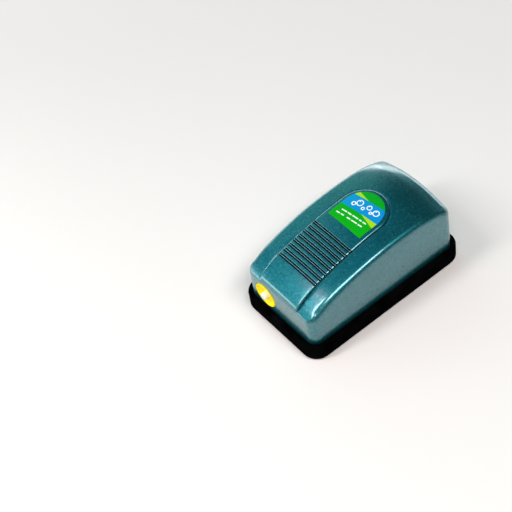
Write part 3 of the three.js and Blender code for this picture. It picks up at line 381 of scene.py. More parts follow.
def tongue_samples(front_half, rear_half, front, corner, steps):
    """The outline of a tongue: straight front at y = front, straight sides and a round rear."""
    across, turning, along, arch = steps
    inner = front_half - corner
    half = [(inner * i / across, front, 0.0, -1.0) for i in range(across)]
    half += turn_samples(inner, front + corner, corner, -90, turning)
    for i in range(along):
        t = i / along
        y = front + corner + (ARCH_Y - front - corner) * t
        half.append((front_half + (rear_half - front_half) * t, y, 1.0, 0.0))
    half += turn_samples(0.0, ARCH_Y, rear_half, 0, arch)
    return mirrored(half + [(0.0, ARCH_Y + rear_half, 0.0, 1.0)])


# ---- Roof surface ----------------------------------------------------------------------------
def ridge_slope(i):
    """The slope at a RIDGE point, from its neighbours."""
    y0, z0 = RIDGE[max(i - 1, 0)]
    y1, z1 = RIDGE[min(i + 1, len(RIDGE) - 1)]
    return (z1 - z0) / (y1 - y0)


def ridge_height(y):
    """A smooth curve through the RIDGE points."""
    i = 0
    while i < len(RIDGE) - 2 and y >= RIDGE[i + 1][0]:
        i += 1
    y0, z0 = RIDGE[i]
    y1, z1 = RIDGE[i + 1]
    length = y1 - y0
    t = (y - y0) / length
    bulge0 = (ridge_slope(i) * length - (z1 - z0)) * t * (1 - t) ** 2
    bulge1 = (ridge_slope(i + 1) * length - (z1 - z0)) * t * t * (1 - t)
    return z0 + (z1 - z0) * t + bulge0 - bulge1


def roof_height(x, y):
    """The roof's surface: the ridge less a crown that grows towards the rear."""
    back = min(max((y - CROWN_GROWS_FROM) / (HALF_Y - CROWN_GROWS_FROM), 0), 1)
    return ridge_height(y) - (ROOF_CROWN + CROWN_GROWTH * back ** 2) * (x / CROWN_AT) ** 2


def tongue_rise(y):
    """How far the tongue stands above the roof, more towards its nose."""
    t = min(max((RISE_GROWS_FROM - y) / RISE_GROWS_OVER, 0), 1)
    return TONGUE_RISE + (TONGUE_NOSE_RISE - TONGUE_RISE) * t


def tongue_top(x, y):
    return roof_height(x, y) + tongue_rise(y)


def smooth(t):
    """0 below 0, 1 above 1 and an even ramp between them."""
    t = min(max(t, 0), 1)
    return t * t * (3 - 2 * t)


def points_to_spine(end, spine, steps, height):
    """Points from an edge over the top to the spine, which runs between two y values at x = 0."""
    spine_y = min(max(end.y, spine[0]), spine[1])
    points = []
    for k in range(1, steps + 1):
        t = k / steps
        x = end.x * (1 - t)
        y = end.y + (spine_y - end.y) * t
        points.append(Vector((x, y, height(x, y))))
    return points


def wall_point(sample, corner, z):
    """A point of the leaning wall at a height, over one sample of the outline."""
    x, y, nx, ny = sample
    reach = corner - DRAFT * (z - RIM)
    return Vector((x + nx * reach, y + ny * reach, z))


def edge_rounding(y, ny):
    """The rounding of the roof's edge: it blends from the sides to the rear and the front."""
    rear = max(ny, 0) ** 2
    front = max(-ny, 0) ** 2
    ahead = smooth((EDGE_GROWS_FROM - y) / (HALF_Y + EDGE_GROWS_FROM))
    side = EDGE_SIDE + (EDGE_SIDE_FRONT - EDGE_SIDE) * ahead
    return side * (1 - rear - front) + EDGE_REAR * rear + EDGE_FRONT * front


EDGE_GUESS = 45.0  # height from which the search for the walls' upper edge starts
EDGE_ROUNDS = 14
PROBE = 0.4  # distance over which the roof's slope at the edge is measured


def rounded_edge(sample, corner, inset, top, steps):
    """Points from the wall to the roof over one sample, round the edge where they meet."""
    edge = wall_point(sample, corner, EDGE_GUESS)
    for _ in range(EDGE_ROUNDS):
        edge = wall_point(sample, corner, top(edge.x, edge.y))
    _, y, nx, ny = sample
    inner = top(edge.x - nx * PROBE, edge.y - ny * PROBE)
    up = Vector((-nx * DRAFT, -ny * DRAFT, 1)).normalized()
    over = Vector((-nx, -ny, (inner - edge.z) / PROBE)).normalized()
    half_turn = up.angle(over) / 2
    setback = max(edge_rounding(y, ny) - inset, EDGE_LEAST) * math.tan(half_turn)
    setback = min(setback, corner - EDGE_MARGIN)
    end = edge + over * setback
    end.z = top(end.x, end.y)
    return conic(edge - up * setback, edge, end, math.cos(half_turn), steps)


def roofed_form(name, inset, bottom, outline_steps, edge_steps, roof_steps):
    """The housing's outer form moved inwards by inset: leaning walls, rounded edge and roof."""
    def top(x, y):
        return roof_height(x, y) - inset

    corner = CORNER - inset
    spine = (SPINE_SETBACK - HALF_Y, HALF_Y - SPINE_SETBACK)
    columns = []
    for sample in rectangle_samples(HALF_X - inset, HALF_Y - inset, corner, outline_steps):
        column = [wall_point(sample, corner, bottom)]
        column += rounded_edge(sample, corner, inset, top, edge_steps)
        columns.append(column + points_to_spine(column[-1], spine, roof_steps, top))
    rings = [[column[k] for column in columns] for k in range(len(columns[0]))]
    form = ring_stack(name, rings, close_ends=False)
    close_bottom(form, bottom)
    return form


def close_bottom(piece, height):
    """Fills the open ring at the given height with one flat face."""
    work = bmesh.new()
    work.from_mesh(piece.data)
    open_edges = [
        edge for edge in work.edges
        if edge.is_boundary and abs(edge.verts[0].co.z - height) < LEVEL_TOLERANCE
    ]
    bmesh.ops.contextual_create(work, geom=open_edges)
    bmesh.ops.recalc_face_normals(work, faces=work.faces)
    work.to_mesh(piece.data)
    work.free()


def draped_form(name, samples, profile, top, spine, roof_steps):
    """A raised form that follows the roof: profile(nx, ny) gives its edge as (out, up) points from
    the foot to the top, measured from the outline and from the top surface."""
    columns = []
    for x, y, nx, ny in samples:
        edge = profile(nx, ny)
        column = []
        for out, up in edge:
            px = x + nx * out
            py = y + ny * out
            column.append(Vector((px, py, top(px, py) + up)))
        rise = edge[-1][1]
        column += points_to_spine(column[-1], spine, roof_steps, lambda px, py: top(px, py) + rise)
        columns.append(column)
    rings = [[column[k] for column in columns] for k in range(len(columns[0]))]
    count = len(samples)
    faces = side_faces(len(rings), count)
    for i in range(count // 2):  # the underside, in strips from left to right
        faces.append((i, (count - i) % count, count - i - 1, i + 1))
    return new_object(name, [p for ring in rings for p in ring], faces)


# ---- Materials -------------------------------------------------------------------------------
MATERIALS = {}  # by the name of the slot


class Nodes:
    """Short calls for building one material's node graph. It is kept in MATERIALS."""

    def __init__(self, name):
        self.material = bpy.data.materials.new(name)
        MATERIALS[name] = self.material
        self.material.use_nodes = True
        self.tree = self.material.node_tree
        self.tree.nodes.clear()
        output = self.add("OutputMaterial")
        self.shader = self.add("BsdfPrincipled")
        self.link(self.shader.outputs[0], output.inputs[0])
        self.place = self.add("TexCoord").outputs["Object"]

    def add(self, kind):
        return self.tree.nodes.new("ShaderNode" + kind)

    def link(self, source, target):
        self.tree.links.new(source, target)

    def feed(self, value, socket):
        """Links a socket to a node's output, or sets it to a number or colour."""
        if isinstance(value, bpy.types.NodeSocket):
            self.link(value, socket)
        else:
            socket.default_value = value

    def settings(self, **values):
        """Sets the shader's sockets by name, such as base_color for Base Color."""
        for name, value in values.items():
            socket = self.shader.inputs[name.replace("_", " ").title().replace("Ior", "IOR")]
            self.feed(value, socket)

    def math(self, operation, *values):
        node = self.add("Math")
        node.operation = operation
        for value, socket in zip(values, node.inputs):
            self.feed(value, socket)
        return node.outputs[0]

    def mix(self, share, first, second):
        node = self.add("Mix")
        node.data_type = "RGBA"
        self.feed(share, node.inputs["Factor"])
        self.feed(first if isinstance(first, bpy.types.NodeSocket) else (*first, 1), node.inputs["A"])
        self.feed(second if isinstance(second, bpy.types.NodeSocket) else (*second, 1), node.inputs["B"])
        return node.outputs["Result"]

    def remap(self, value, low, high, out_low=0.0, out_high=1.0):
        node = self.add("MapRange")
        self.feed(value, node.inputs["Value"])
        limits = {"From Min": low, "From Max": high, "To Min": out_low, "To Max": out_high}
        for name, number in limits.items():
            node.inputs[name].default_value = number
        return node.outputs[0]

    def noise(self, size_mm, detail=2.0, stretch=(1, 1, 1)):
        node = self.add("TexNoise")
        self.link(self.stretched(stretch), node.inputs["Vector"])
        node.inputs["Scale"].default_value = 1 / (size_mm * MM)
        node.inputs["Detail"].default_value = detail
        return node.outputs["Fac"]

    def cells(self, size_mm, output="Distance"):
        node = self.add("TexVoronoi")
        self.link(self.place, node.inputs["Vector"])
        node.inputs["Scale"].default_value = 1 / (size_mm * MM)
        return node.outputs[output]

    def stretched(self, stretch):
        node = self.add("Mapping")
        self.link(self.place, node.inputs["Vector"])
        node.inputs["Scale"].default_value = stretch
        return node.outputs[0]

    def axes(self):
        """The place on the object along X, Y and Z, in millimetres."""
        node = self.add("SeparateXYZ")
        self.link(self.place, node.inputs[0])
        return [self.math("MULTIPLY", socket, 1 / MM) for socket in node.outputs]

    def bump(self, height, depth_mm):
        node = self.add("Bump")
        self.link(height, node.inputs["Height"])
        node.inputs["Distance"].default_value = depth_mm * MM
        node.inputs["Strength"].default_value = 1.0
        self.link(node.outputs[0], self.shader.inputs["Normal"])


FLECK_SIZE = 0.42
CLUMP_SIZE = 1.5
CLOUD_SIZE = 7.0


def fleck_plastic():
    """Teal moulding with clumps of metallic flecks under a smooth skin, and painted shade in its grooves
    and channel.
    """
    n = Nodes("housing_plastic")
    pick = n.add("SeparateColor")
    n.link(n.cells(FLECK_SIZE, "Color"), pick.inputs[0])
    cloud = n.remap(n.noise(CLOUD_SIZE, 3), 0.3, 0.7)
    base = n.mix(cloud, (0.003, 0.155, 0.190), (0.006, 0.180, 0.205))
    clump = n.noise(CLUMP_SIZE, 1)
    is_dark = n.remap(pick.outputs[0], 0.0, 0.55, 1.0, 0.0)
    dark = n.math("MULTIPLY", is_dark, n.remap(clump, 0.40, 0.62))
    grained = n.mix(n.math("MULTIPLY", dark, 0.85), base, (0.002, 0.050, 0.070))
    is_light = n.remap(pick.outputs[1], 0.70, 1.0)
    light = n.math("MULTIPLY", is_light, n.remap(clump, 0.58, 0.38))
    bright = n.mix(n.math("MULTIPLY", light, 0.6), grained, (0.10, 0.36, 0.39))
    # painted shade: where the roof lies in a groove or in the channel, the base colour goes almost black
    # and the coat thins
    attribute = n.add("Attribute")
    attribute.attribute_name = PAINTED_SHADE_ATTRIBUTE
    groove = attribute.outputs["Fac"]
    shaded = n.mix(n.math("MULTIPLY", groove, 0.97), bright, (0.001, 0.003, 0.006))
    n.settings(base_color=shaded, metallic=0.85)
    n.settings(roughness=n.remap(n.noise(3, 2), 0, 1, 0.36, 0.46))
    n.settings(coat_weight=n.math("SUBTRACT", 1.0, n.math("MULTIPLY", groove, 0.85)))
    n.settings(coat_roughness=0.17, coat_ior=1.65)
    n.bump(n.noise(0.9, 3), 0.012)


def rubber(name, colour, roughness, grain=0.5, depth=0.02, wear=1.6, shine=0.3, ior=1.5):
    """Rubber with a fine matt grain, a little lighter where it is rubbed."""
    n = Nodes(name)
    worn = tuple(min(c * wear + 0.002, 1) for c in colour)
    share = n.remap(n.noise(9, 4), 0.35, 0.75)
    n.settings(base_color=n.mix(share, colour, worn))
    n.settings(roughness=n.remap(n.noise(2, 3), 0, 1, roughness - 0.08, roughness + 0.06))
    n.settings(specular_ior_level=shine, ior=ior)
    n.bump(n.noise(grain, 3), depth)


def plastic(name, colour, roughness, grain=0.6, depth=0.008, shade=0.88, shine=0.5):
    """Moulded plastic with a fine grain and a slight change of shade."""
    n = Nodes(name)
    n.settings(specular_ior_level=shine)
    darker = tuple(c * shade for c in colour)
    n.settings(base_color=n.mix(n.remap(n.noise(6, 3), 0.3, 0.7), darker, colour))
    n.settings(roughness=n.remap(n.noise(1.5, 2), 0, 1, roughness - 0.05, roughness + 0.07))
    n.bump(n.noise(grain, 3), depth)


def metal(name, colour, roughness, stretch=(1, 1, 12), depth=0.004):
    """Drawn or pressed metal with fine lines and faint tarnish."""
    n = Nodes(name)
    tarnish = tuple(c * 0.72 for c in colour)
    n.settings(base_color=n.mix(n.remap(n.noise(2.5, 4), 0.35, 0.75), colour, tarnish), metallic=1.0)
    lines = n.noise(0.8, 3, stretch)
    n.settings(roughness=n.remap(lines, 0.2, 0.8, roughness - 0.06, roughness + 0.12))
    n.bump(lines, depth)


def silicone():
    """Milky soft tube."""
    n = Nodes("silicone")
    n.settings(base_color=n.mix(n.noise(5, 2), (0.68, 0.71, 0.70), (0.80, 0.82, 0.81)))
    n.settings(roughness=n.remap(n.noise(1.2, 2), 0, 1, 0.32, 0.45), subsurface_weight=0.25)
    n.shader.inputs["Subsurface Scale"].default_value = 1.5 * MM
    n.bump(n.noise(0.7, 2), 0.006)


def laminated_steel():
    """A stack of pressed sheets, seen as fine lines across Z."""
    n = Nodes("lamination_steel")
    height = n.axes()[2]
    sheet = n.math("PINGPONG", height, 0.25)
    edge = n.remap(sheet, 0.0, 0.06)
    rust = n.remap(n.noise(3, 5), 0.55, 0.8)
    steel = n.mix(n.math("MULTIPLY", rust, 0.6), (0.40, 0.41, 0.43), (0.22, 0.13, 0.08))
    n.settings(base_color=n.mix(edge, (0.08, 0.08, 0.09), steel), metallic=0.85)
    n.settings(roughness=n.remap(n.noise(1, 3), 0, 1, 0.35, 0.55))
    n.bump(edge, 0.05)


def wound_copper():
    """Turns of enamelled wire laid side by side along Y, with painted shade between the turns."""
    n = Nodes("enamelled_copper")
    turn = n.math("PINGPONG", n.axes()[1], 0.14)
    ridge = n.remap(turn, 0.0, 0.14)
    shade = n.mix(n.remap(n.noise(2, 3), 0.3, 0.7), (0.45, 0.16, 0.05), (0.68, 0.28, 0.10))
    # painted shade: the colour darkens to a deep brown in the grooves between turns
    n.settings(base_color=n.mix(ridge, (0.12, 0.04, 0.02), shade), metallic=0.8)
    n.settings(roughness=n.remap(ridge, 0, 1, 0.5, 0.28), coat_weight=0.5, coat_roughness=0.15)
    n.bump(ridge, 0.08)


def felt():
    """Needled fibre mat."""
    n = Nodes("filter_felt")
    fibres = n.noise(0.35, 6, (1, 2.2, 1))
    n.settings(base_color=n.mix(n.remap(fibres, 0.3, 0.7), (0.62, 0.62, 0.58), (0.88, 0.88, 0.84)))
    n.settings(roughness=0.95, sheen_weight=0.4)
    n.bump(fibres, 0.2)


def ferrite():
    """Sintered magnet with small pits, painted darker as shade in them."""
    n = Nodes("ferrite")
    pits = n.remap(n.cells(0.8), 0.0, 0.35)
    # painted shade: the pits are darker in colour as well as sunk by the bump
    n.settings(base_color=n.mix(pits, (0.03, 0.03, 0.033), (0.09, 0.09, 0.095)), metallic=0.3)
    n.settings(roughness=n.remap(n.noise(1, 3), 0, 1, 0.45, 0.65))
    n.bump(pits, 0.03)


# The label's artwork, in millimetres from the centre of its arch. An edge is (slope, height at x = 0).
BAND_TOP = (0.129, 7.7)
BAND_BOTTOM = (0.112, -2.3)
LEFT_SLIVER_BOTTOM = (-0.17, 7.2)
RIGHT_SLIVER_BOTTOM = (-0.22, -1.6)
BUBBLES = [  # (x, y, radius)
    (-7.4, 0.6, 1.5), (-4.6, 3.2, 2.3), (-0.3, 1.4, 1.2),
    (2.4, 4.4, 1.8), (5.6, 2.2, 1.1), (8.3, 4.3, 2.2),
]
BUBBLE_RIM = 0.6
BARS = [  # (start, end, height) of each dash
    (-9.6, -5.4, -6.0), (-4.6, -1.8, -6.0), (-1.0, 3.6, -6.0), (4.4, 6.2, -6.0), (7.0, 9.6, -6.0),
    (-11.0, -8.2, -9.0), (-7.4, -5.0, -9.0), (-2.6, 0.2, -9.0), (1.0, 5.4, -9.0), (6.2, 9.2, -9.0),
]
BAR_HALF = 0.42
BAR_SLOPE = 0.11
EDGE_BLUR = 0.08
SHAPE_BLUR = 0.1
LIME = (0.36, 0.64, 0.008)
WHITE_INK = (0.90, 0.94, 0.96)
PALE_INK = (0.80, 0.93, 0.78)


def label_print():
    """Printed film: a blue band across green with two lime slivers, bubbles and plain bars."""
    n = Nodes("label_print")
    x, along, _ = n.axes()
    y = n.math("SUBTRACT", along, ARCH_Y)

    def above(edge):
        slope, level = edge
        line = n.math("MULTIPLY_ADD", x, slope, level)
        return n.remap(n.math("SUBTRACT", y, line), -EDGE_BLUR, EDGE_BLUR)

    def both(first, second):
        return n.math("MULTIPLY", first, second)

    def outside(mask):
        return n.math("SUBTRACT", 1.0, mask)

    green = n.mix(n.remap(y, -15, 14), (0.002, 0.37, 0.004), (0.002, 0.33, 0.015))
    upper = above(BAND_TOP)
    lower = above(BAND_BOTTOM)
    blue = n.mix(n.remap(x, -12, 12), (0.002, 0.275, 0.55), (0.002, 0.25, 0.60))
    colour = n.mix(both(lower, outside(upper)), green, blue)
    left_sliver = both(upper, outside(above(LEFT_SLIVER_BOTTOM)))
    colour = n.mix(left_sliver, colour, LIME)
    right_sliver = both(outside(lower), above(RIGHT_SLIVER_BOTTOM))
    colour = n.mix(right_sliver, colour, LIME)
    for cx, cy, radius in BUBBLES:
        whole = disc(n, x, y, cx, cy, radius)
        hole = disc(n, x, y, cx, cy, radius - BUBBLE_RIM)
        colour = n.mix(n.math("SUBTRACT", whole, hole), colour, WHITE_INK)
        glint = disc(n, x, y, cx - 0.35 * radius, cy + 0.35 * radius, 0.16 * radius)
        colour = n.mix(glint, colour, WHITE_INK)
    for low, high, level in BARS:
        after = n.remap(x, low - SHAPE_BLUR, low + SHAPE_BLUR)
        before = n.remap(x, high + SHAPE_BLUR, high - SHAPE_BLUR)
        level_at_middle = n.math("MULTIPLY_ADD", x, -BAR_SLOPE, y)
        away = n.math("ABSOLUTE", n.math("SUBTRACT", level_at_middle, level))
        thick = n.remap(away, BAR_HALF + EDGE_BLUR, BAR_HALF - EDGE_BLUR)
        colour = n.mix(both(both(after, before), thick), colour, PALE_INK)
    n.settings(base_color=colour, roughness=n.remap(n.noise(2, 2), 0, 1, 0.42, 0.52))
    n.settings(specular_ior_level=0.12)
    n.bump(n.noise(0.5, 2), 0.004)


def disc(n, x, y, cx, cy, radius):
    """1 inside a circle of the label's artwork and 0 outside it."""
    across = n.math("POWER", n.math("SUBTRACT", x, cx), 2.0)
    along = n.math("POWER", n.math("SUBTRACT", y, cy), 2.0)
    distance = n.math("SQRT", n.math("ADD", across, along))
    return n.remap(distance, radius + SHAPE_BLUR, radius - SHAPE_BLUR)


fleck_plastic()
rubber("boot_rubber", (0.0006, 0.0006, 0.0008), 0.75, grain=0.45, wear=1.3, shine=0.05, ior=1.06)
plastic("plate_plastic", (0.03, 0.032, 0.035), 0.5, 0.5, 0.02)
label_print()
plastic("yellow_plastic", (1.0, 0.80, 0.0), 0.34, grain=0.8, depth=0.004, shade=0.94, shine=0.15)
plastic("white_plastic", (0.86, 0.89, 0.80), 0.34, grain=0.8, depth=0.004, shade=0.95)
silicone()
plastic("valve_plastic", (0.70, 0.71, 0.68), 0.45)
rubber("flap_rubber", (0.30, 0.07, 0.04), 0.55, 0.5, 0.01, 1.2)
rubber("diaphragm_rubber", (0.018, 0.018, 0.02), 0.5, 0.6, 0.01)
metal("washer_metal", (0.66, 0.67, 0.68), 0.32)
metal("screw_steel", (0.58, 0.59, 0.61), 0.3, (3, 3, 1))
plastic("arm_plastic", (0.045, 0.05, 0.058), 0.5, 0.3, 0.015, 0.7)
ferrite()
rubber("bush_rubber", (0.09, 0.07, 0.055), 0.65)
plastic("bracket_plastic", (0.62, 0.63, 0.60), 0.45)
laminated_steel()
plastic("bobbin_plastic", (0.78, 0.74, 0.60), 0.42)
wound_copper()
felt()
plastic("switch_plastic", (0.012, 0.012, 0.014), 0.4, 0.4, 0.01)
plastic("diode_epoxy", (0.015, 0.015, 0.015), 0.3, 0.4, 0.006)
rubber("grommet_rubber", (0.008, 0.008, 0.009), 0.6)
rubber("foot_rubber", (0.03, 0.03, 0.032), 0.5, 0.6, 0.01)
plastic("lead_blue", (0.02, 0.09, 0.40), 0.4, 0.6, 0.006)
plastic("lead_brown", (0.16, 0.06, 0.02), 0.4, 0.6, 0.006)


def dress_cad_nodes():
    """Gives every CAD node the material of its slot."""
    for entry in frame["record"]["subparts"]:
        node = frame["nodes"][entry["node"]]
        node.data.materials.clear()
        node.data.materials.append(MATERIALS[entry["material_slot"]])


# ---- Housing ---------------------------------------------------------------------------------
def tongue_form():
    """The raised tongue, with its foot below the roof."""
    front = tongue_front()
    steps = (14, 5, 70, 40)
    samples = tongue_samples(TONGUE_FRONT_HALF, TONGUE_REAR_HALF, front, TONGUE_CORNER, steps)

    def profile(nx, ny):
        ahead = max(-ny, 0) ** 2
        edge = TONGUE_EDGE + (TONGUE_FRONT_EDGE - TONGUE_EDGE) * ahead
        drop = TONGUE_EDGE_DROP + (TONGUE_FRONT_EDGE - TONGUE_EDGE_DROP) * ahead
        low = -TONGUE_BURIED - TONGUE_RISE - NOSE_BURIED * ahead
        flank = TONGUE_FLANK * (1 - ahead)
        start = Vector((0, -drop, 0))
        corner = Vector((0, 0, 0))
        end = Vector((-edge, 0, 0))
        arc = [(p.x, p.y) for p in conic(start, corner, end, 0.2 + 0.5 * ahead, 6)]
        return [(flank, low)] + arc

    return draped_form("tongue", samples, profile, tongue_top, (front + FAN_SETBACK, ARCH_Y), 8)


def tongue_front():
    return -(HALF_Y - TONGUE_SETBACK - DRAFT * NOSE_HEIGHT)


def channel_cutter():
    """Cuts the roof down a little way all round the tongue, with a rounded outer lip."""
    front = tongue_front() + CHANNEL_AHEAD
    front_half = TONGUE_FRONT_HALF + CHANNEL_WIDTH
    rear_half = TONGUE_REAR_HALF + CHANNEL_WIDTH
    samples = tongue_samples(front_half, rear_half, front, TONGUE_CORNER, (6, 5, 70, 40))
    lip = [(0, -0.22), (0.05, -0.17), (0.45, 0.01), (0.9, 0.12)]

    def profile(nx, ny):
        return [(0, -CHANNEL_DEPTH)] + lip + [(lip[-1][0], 3)]

    return draped_form("channel", samples, profile, roof_height, (front + FAN_SETBACK, ARCH_Y), 2)


# painted shade in the grooves and the channel, set by the depth below the roof
PAINTED_SHADE_MARGIN = 0.3
GROOVE_END_MARGIN = 0.2
GROOVE_DARK_AT = 0.5  # depth where a groove's painted shade is at its darkest
CHANNEL_DARK_AT = 0.4


def painted_shade(x, y, z):
    """How much painted shade a point of the roof gets for lying in a groove or in the channel, from 0 to
    1.
    """
    depth = roof_height(x, y) - z
    reach = TONGUE_FRONT_HALF + CHANNEL_WIDTH + PAINTED_SHADE_MARGIN
    beside = abs(x) > reach or y < tongue_front() + 1 or y > ARCH_Y + reach
    if beside or depth > GRIP_DEPTH:
        return 0.0
    wall = GRIP_WIDTH / 2 + GRIP_CHAMFER
    in_groove = any(abs(y - line) < wall for line in groove_lines())
    if in_groove and abs(x) < TONGUE_FRONT_HALF - GROOVE_END_MARGIN:
        return smooth((depth + tongue_rise(y)) / GROOVE_DARK_AT)
    return CHANNEL_SHADE * smooth(depth / CHANNEL_DARK_AT)


def groove_lines():
    """The y value of each groove's middle."""
    middles = [GRIP_FIRST_Y + grip * GRIP_PITCH for grip in range(GRIP_COUNT)]
    return [middle + side * GRIP_PAIR for middle in middles for side in (-0.5, 0.5)]


def grip_cutter(name, y):
    """A groove across the tongue at y that follows the roof's crown."""
    reach = TONGUE_FRONT_HALF + 2
    steps = 16
    half = GRIP_WIDTH / 2
    over = 0.5
    section = [
        (-half, -GRIP_DEPTH),
        (half, -GRIP_DEPTH),
        (half, -GRIP_CHAMFER),
        (half + GRIP_CHAMFER + over, over),
        (half + GRIP_CHAMFER + over, over + 2),
        (-half - GRIP_CHAMFER - over, over + 2),
        (-half - GRIP_CHAMFER - over, over),
        (-half, -GRIP_CHAMFER),
    ]
    rings = []
    for i in range(steps + 1):
        x = reach * (2 * i / steps - 1)
        level = tongue_top(x, y)
        slope = roof_height(x, y + 0.5) - roof_height(x, y - 0.5)
        rings.append([(x, y + dy, level + dy * slope + dz) for dy, dz in section])
    return ring_stack(name, rings)


def housing():
    shell = roofed_form("housing_shell", 0.0, RIM, (14, 10, 60), 8, 12)
    tongue = tongue_form()
    for line in groove_lines():
        boolean(tongue, grip_cutter("groove", line), "DIFFERENCE")
    boolean(shell, channel_cutter(), "DIFFERENCE")
    boolean(shell, tongue, "UNION")
    boolean(shell, roofed_form("hollow", WALL, RIM - 1, (8, 6, 30), 4, 6), "DIFFERENCE")
    for x, y in four_corners(SCREW_X, SCREW_Y):
        boolean(shell, boss(x, y), "UNION")
        boolean(shell, rod("hole", BOSS_HOLE, (x, y), BOSS_BOTTOM - 1, BOSS_HOLE_TOP), "DIFFERENCE")
    boolean(shell, collar_mouth(), "DIFFERENCE")
    boolean(shell, switch_slot(), "DIFFERENCE")
    boolean(shell, cord_hole(), "DIFFERENCE")
    # painted shade for the grooves and the channel, kept on each point
    darkness = shell.data.attributes.new(PAINTED_SHADE_ATTRIBUTE, "FLOAT", "POINT")
    for vertex in shell.data.vertices:
        darkness.data[vertex.index].value = painted_shade(*vertex.co)
    return finish_piece(shell, "pump", "housing_plastic", ["housing"])


def boss(x, y):
    """A screw boss with a web to the side wall, trimmed to the inside of the wall."""
    column = rod("boss", BOSS_RADIUS, (x, y), BOSS_BOTTOM, ABOVE_ROOF)
    reach = math.copysign(WEB_END, x)
    web_low = (min(x, reach), y - WEB_HALF, BOSS_BOTTOM)
    web_high = (max(x, reach), y + WEB_HALF, ABOVE_ROOF)
    web = block("web", web_low, web_high)
    boolean(column, web, "UNION")
    boolean(column, roofed_form("trim", WALL / 2, RIM - 1, (8, 6, 30), 3, 6), "INTERSECT")
    return column


def middle_of(node):
    low, high = extent(node)
    return (low + high) / 2


def collar_mouth():
    """Cuts the oval opening in the front wall for the outlet collar."""
    place = along_y(middle_of("outlet_collar"), -HALF_Y, MOUTH_HALF_X, MOUTH_HALF_Z)
    return lathe("mouth", [(0, 8), (1, 8), (1, -4), (0, -4)], 64, place)


def switch_slot():
    """Cuts the slot in the rear wall: the slider is at its low-x end at rest."""
    middle = middle_of("switch_slider") + Vector((SLIDER_TRAVEL / 2, 0, 0))
    half = Vector((SLIDER_HALF + SLIDER_TRAVEL / 2 + GAP, 6, SLIDER_HALF + GAP))
    wall = Vector((middle.x, HALF_Y, middle.z))
    return block("slot", wall - half, wall + half)


def cord_hole():
    """Cuts the round hole in the rear wall for the grommet."""
    place = along_y(middle_of("cord_grommet"), HALF_Y)
    return lathe("entry", [(0, -8), (CORD_HOLE, -8), (CORD_HOLE, 8), (0, 8)], 48, place)


# ---- Label -----------------------------------------------------------------------------------
def label():
    """A thin film on the tongue with a slightly rounded upper edge."""
    steps = (10, 4, 14, 36)
    samples = tongue_samples(LABEL_HALF, LABEL_HALF, LABEL_FRONT, LABEL_CORNER, steps)
    edge = [(0, -0.05), (0, LABEL_THICK - 0.08), (-0.03, LABEL_THICK - 0.02), (-0.1, LABEL_THICK)]
    spine = (LABEL_FRONT + LABEL_FAN_SETBACK, ARCH_Y)
    plate = draped_form("label", samples, lambda nx, ny: edge, tongue_top, spine, 8)
    return finish_piece(plate, "pump", "label_print", ["label_badge"])


# ---- Base boot -------------------------------------------------------------------------------
def base_boot():
    """A tray whose wall goes round the housing's rim. Its profile is (inset, height, rounding)."""
    samples = rectangle_samples(BOOT_HIGH.x, BOOT_HIGH.y, BOOT_CORNER, (4, 14, 6))
    pocket = BOOT_HIGH.x - HALF_X - 2 * GAP
    profile = rounded([
        (BOOT_SOLE_INSET, BOOT_LOW.z, 0),
        (0, BOOT_LOW.z, BOOT_LOWER_ROUND),
        (0, BOOT_HIGH.z, BOOT_UPPER_ROUND),
        (pocket, BOOT_HIGH.z, BOOT_LIP_ROUND),
        (pocket, BOOT_FLOOR, 0),
    ], 6)
    rings = []
    for inset, z in profile:
        reach = BOOT_CORNER - inset
        rings.append([(x + nx * reach, y + ny * reach, z) for x, y, nx, ny in samples])
    boot = ring_stack("boot", rings)
    above_floor = BOOT_FLOOR + 1
    at = middle_of("foot_3")
    for x, y in four_corners(at.x, at.y):
        boolean(boot, rod("recess", FOOT_RECESS, (x, y), 0, FOOT_RECESS_TOP, 64), "DIFFERENCE")
        boolean(boot, rod("stem_hole", FOOT_STEM_HOLE, (x, y), 0, above_floor, 32), "DIFFERENCE")
    for x in AIR_HOLES_X:
        for y in AIR_HOLES_Y:
            boolean(boot, rod("air_hole", AIR_HOLE, (x, y), 0, above_floor, 24), "DIFFERENCE")
    return finish_piece(boot, "pump", "boot_rubber", ["base_boot"])


FOOT_PROFILE = [  # (radius, height, rounding), from the hollow of its sole to the top of its stem
    (0, 1.3, 0), (4, 1.1, 1.0), (7.4, 0, 0), (8.7, 0, 0.1), (8.7, 0.4, 0.15), (7.4, 1.6, 0.8),
    (2.4, 2.5, 0.5), (2.4, 4.9, 0), (3.7, 4.9, 0.2), (3.2, 6.0, 0.4), (0, 6.0, 0),
]


def foot(index):
    """A shallow rubber cup with a stem that snaps through the boot's floor."""
    middle = middle_of(f"foot_{index}")

    def place(px, py, h):
        return (middle.x + px, middle.y + py, h)

    cup = lathe(f"rubber_foot_{index}", rounded(FOOT_PROFILE), 56, place)
    return finish_piece(cup, "pump", "foot_rubber", [f"foot_{index}"])


# ---- Outlet ----------------------------------------------------------------------------------
COLLAR_PROFILE = [  # (radius, distance behind its face, rounding)
    (3, 3.2, 0.3), (4.4, 3.1, 0.9), (7.2, 1.5, 1.2), (8.5, 0, 0.25), (8.9, 0.25, 0.15),
    (8.9, 3.7, 0), (COLLAR_RADIUS, 3.7, 0.2), (COLLAR_RADIUS, 4.9, 0.2), (3, 4.9, 0),
]


def outlet_collar():
    """A dished oval with a flange behind the front wall."""
    low, high = extent("outlet_collar")
    middle = (low + high) / 2
    stretch = (high - low) / (2 * COLLAR_RADIUS)
    place = along_y(middle, low.y, stretch.x, stretch.z)
    dish = lathe("collar", rounded(COLLAR_PROFILE), 72, place)
    return finish_piece(dish, "pump", "yellow_plastic", ["outlet_collar"])


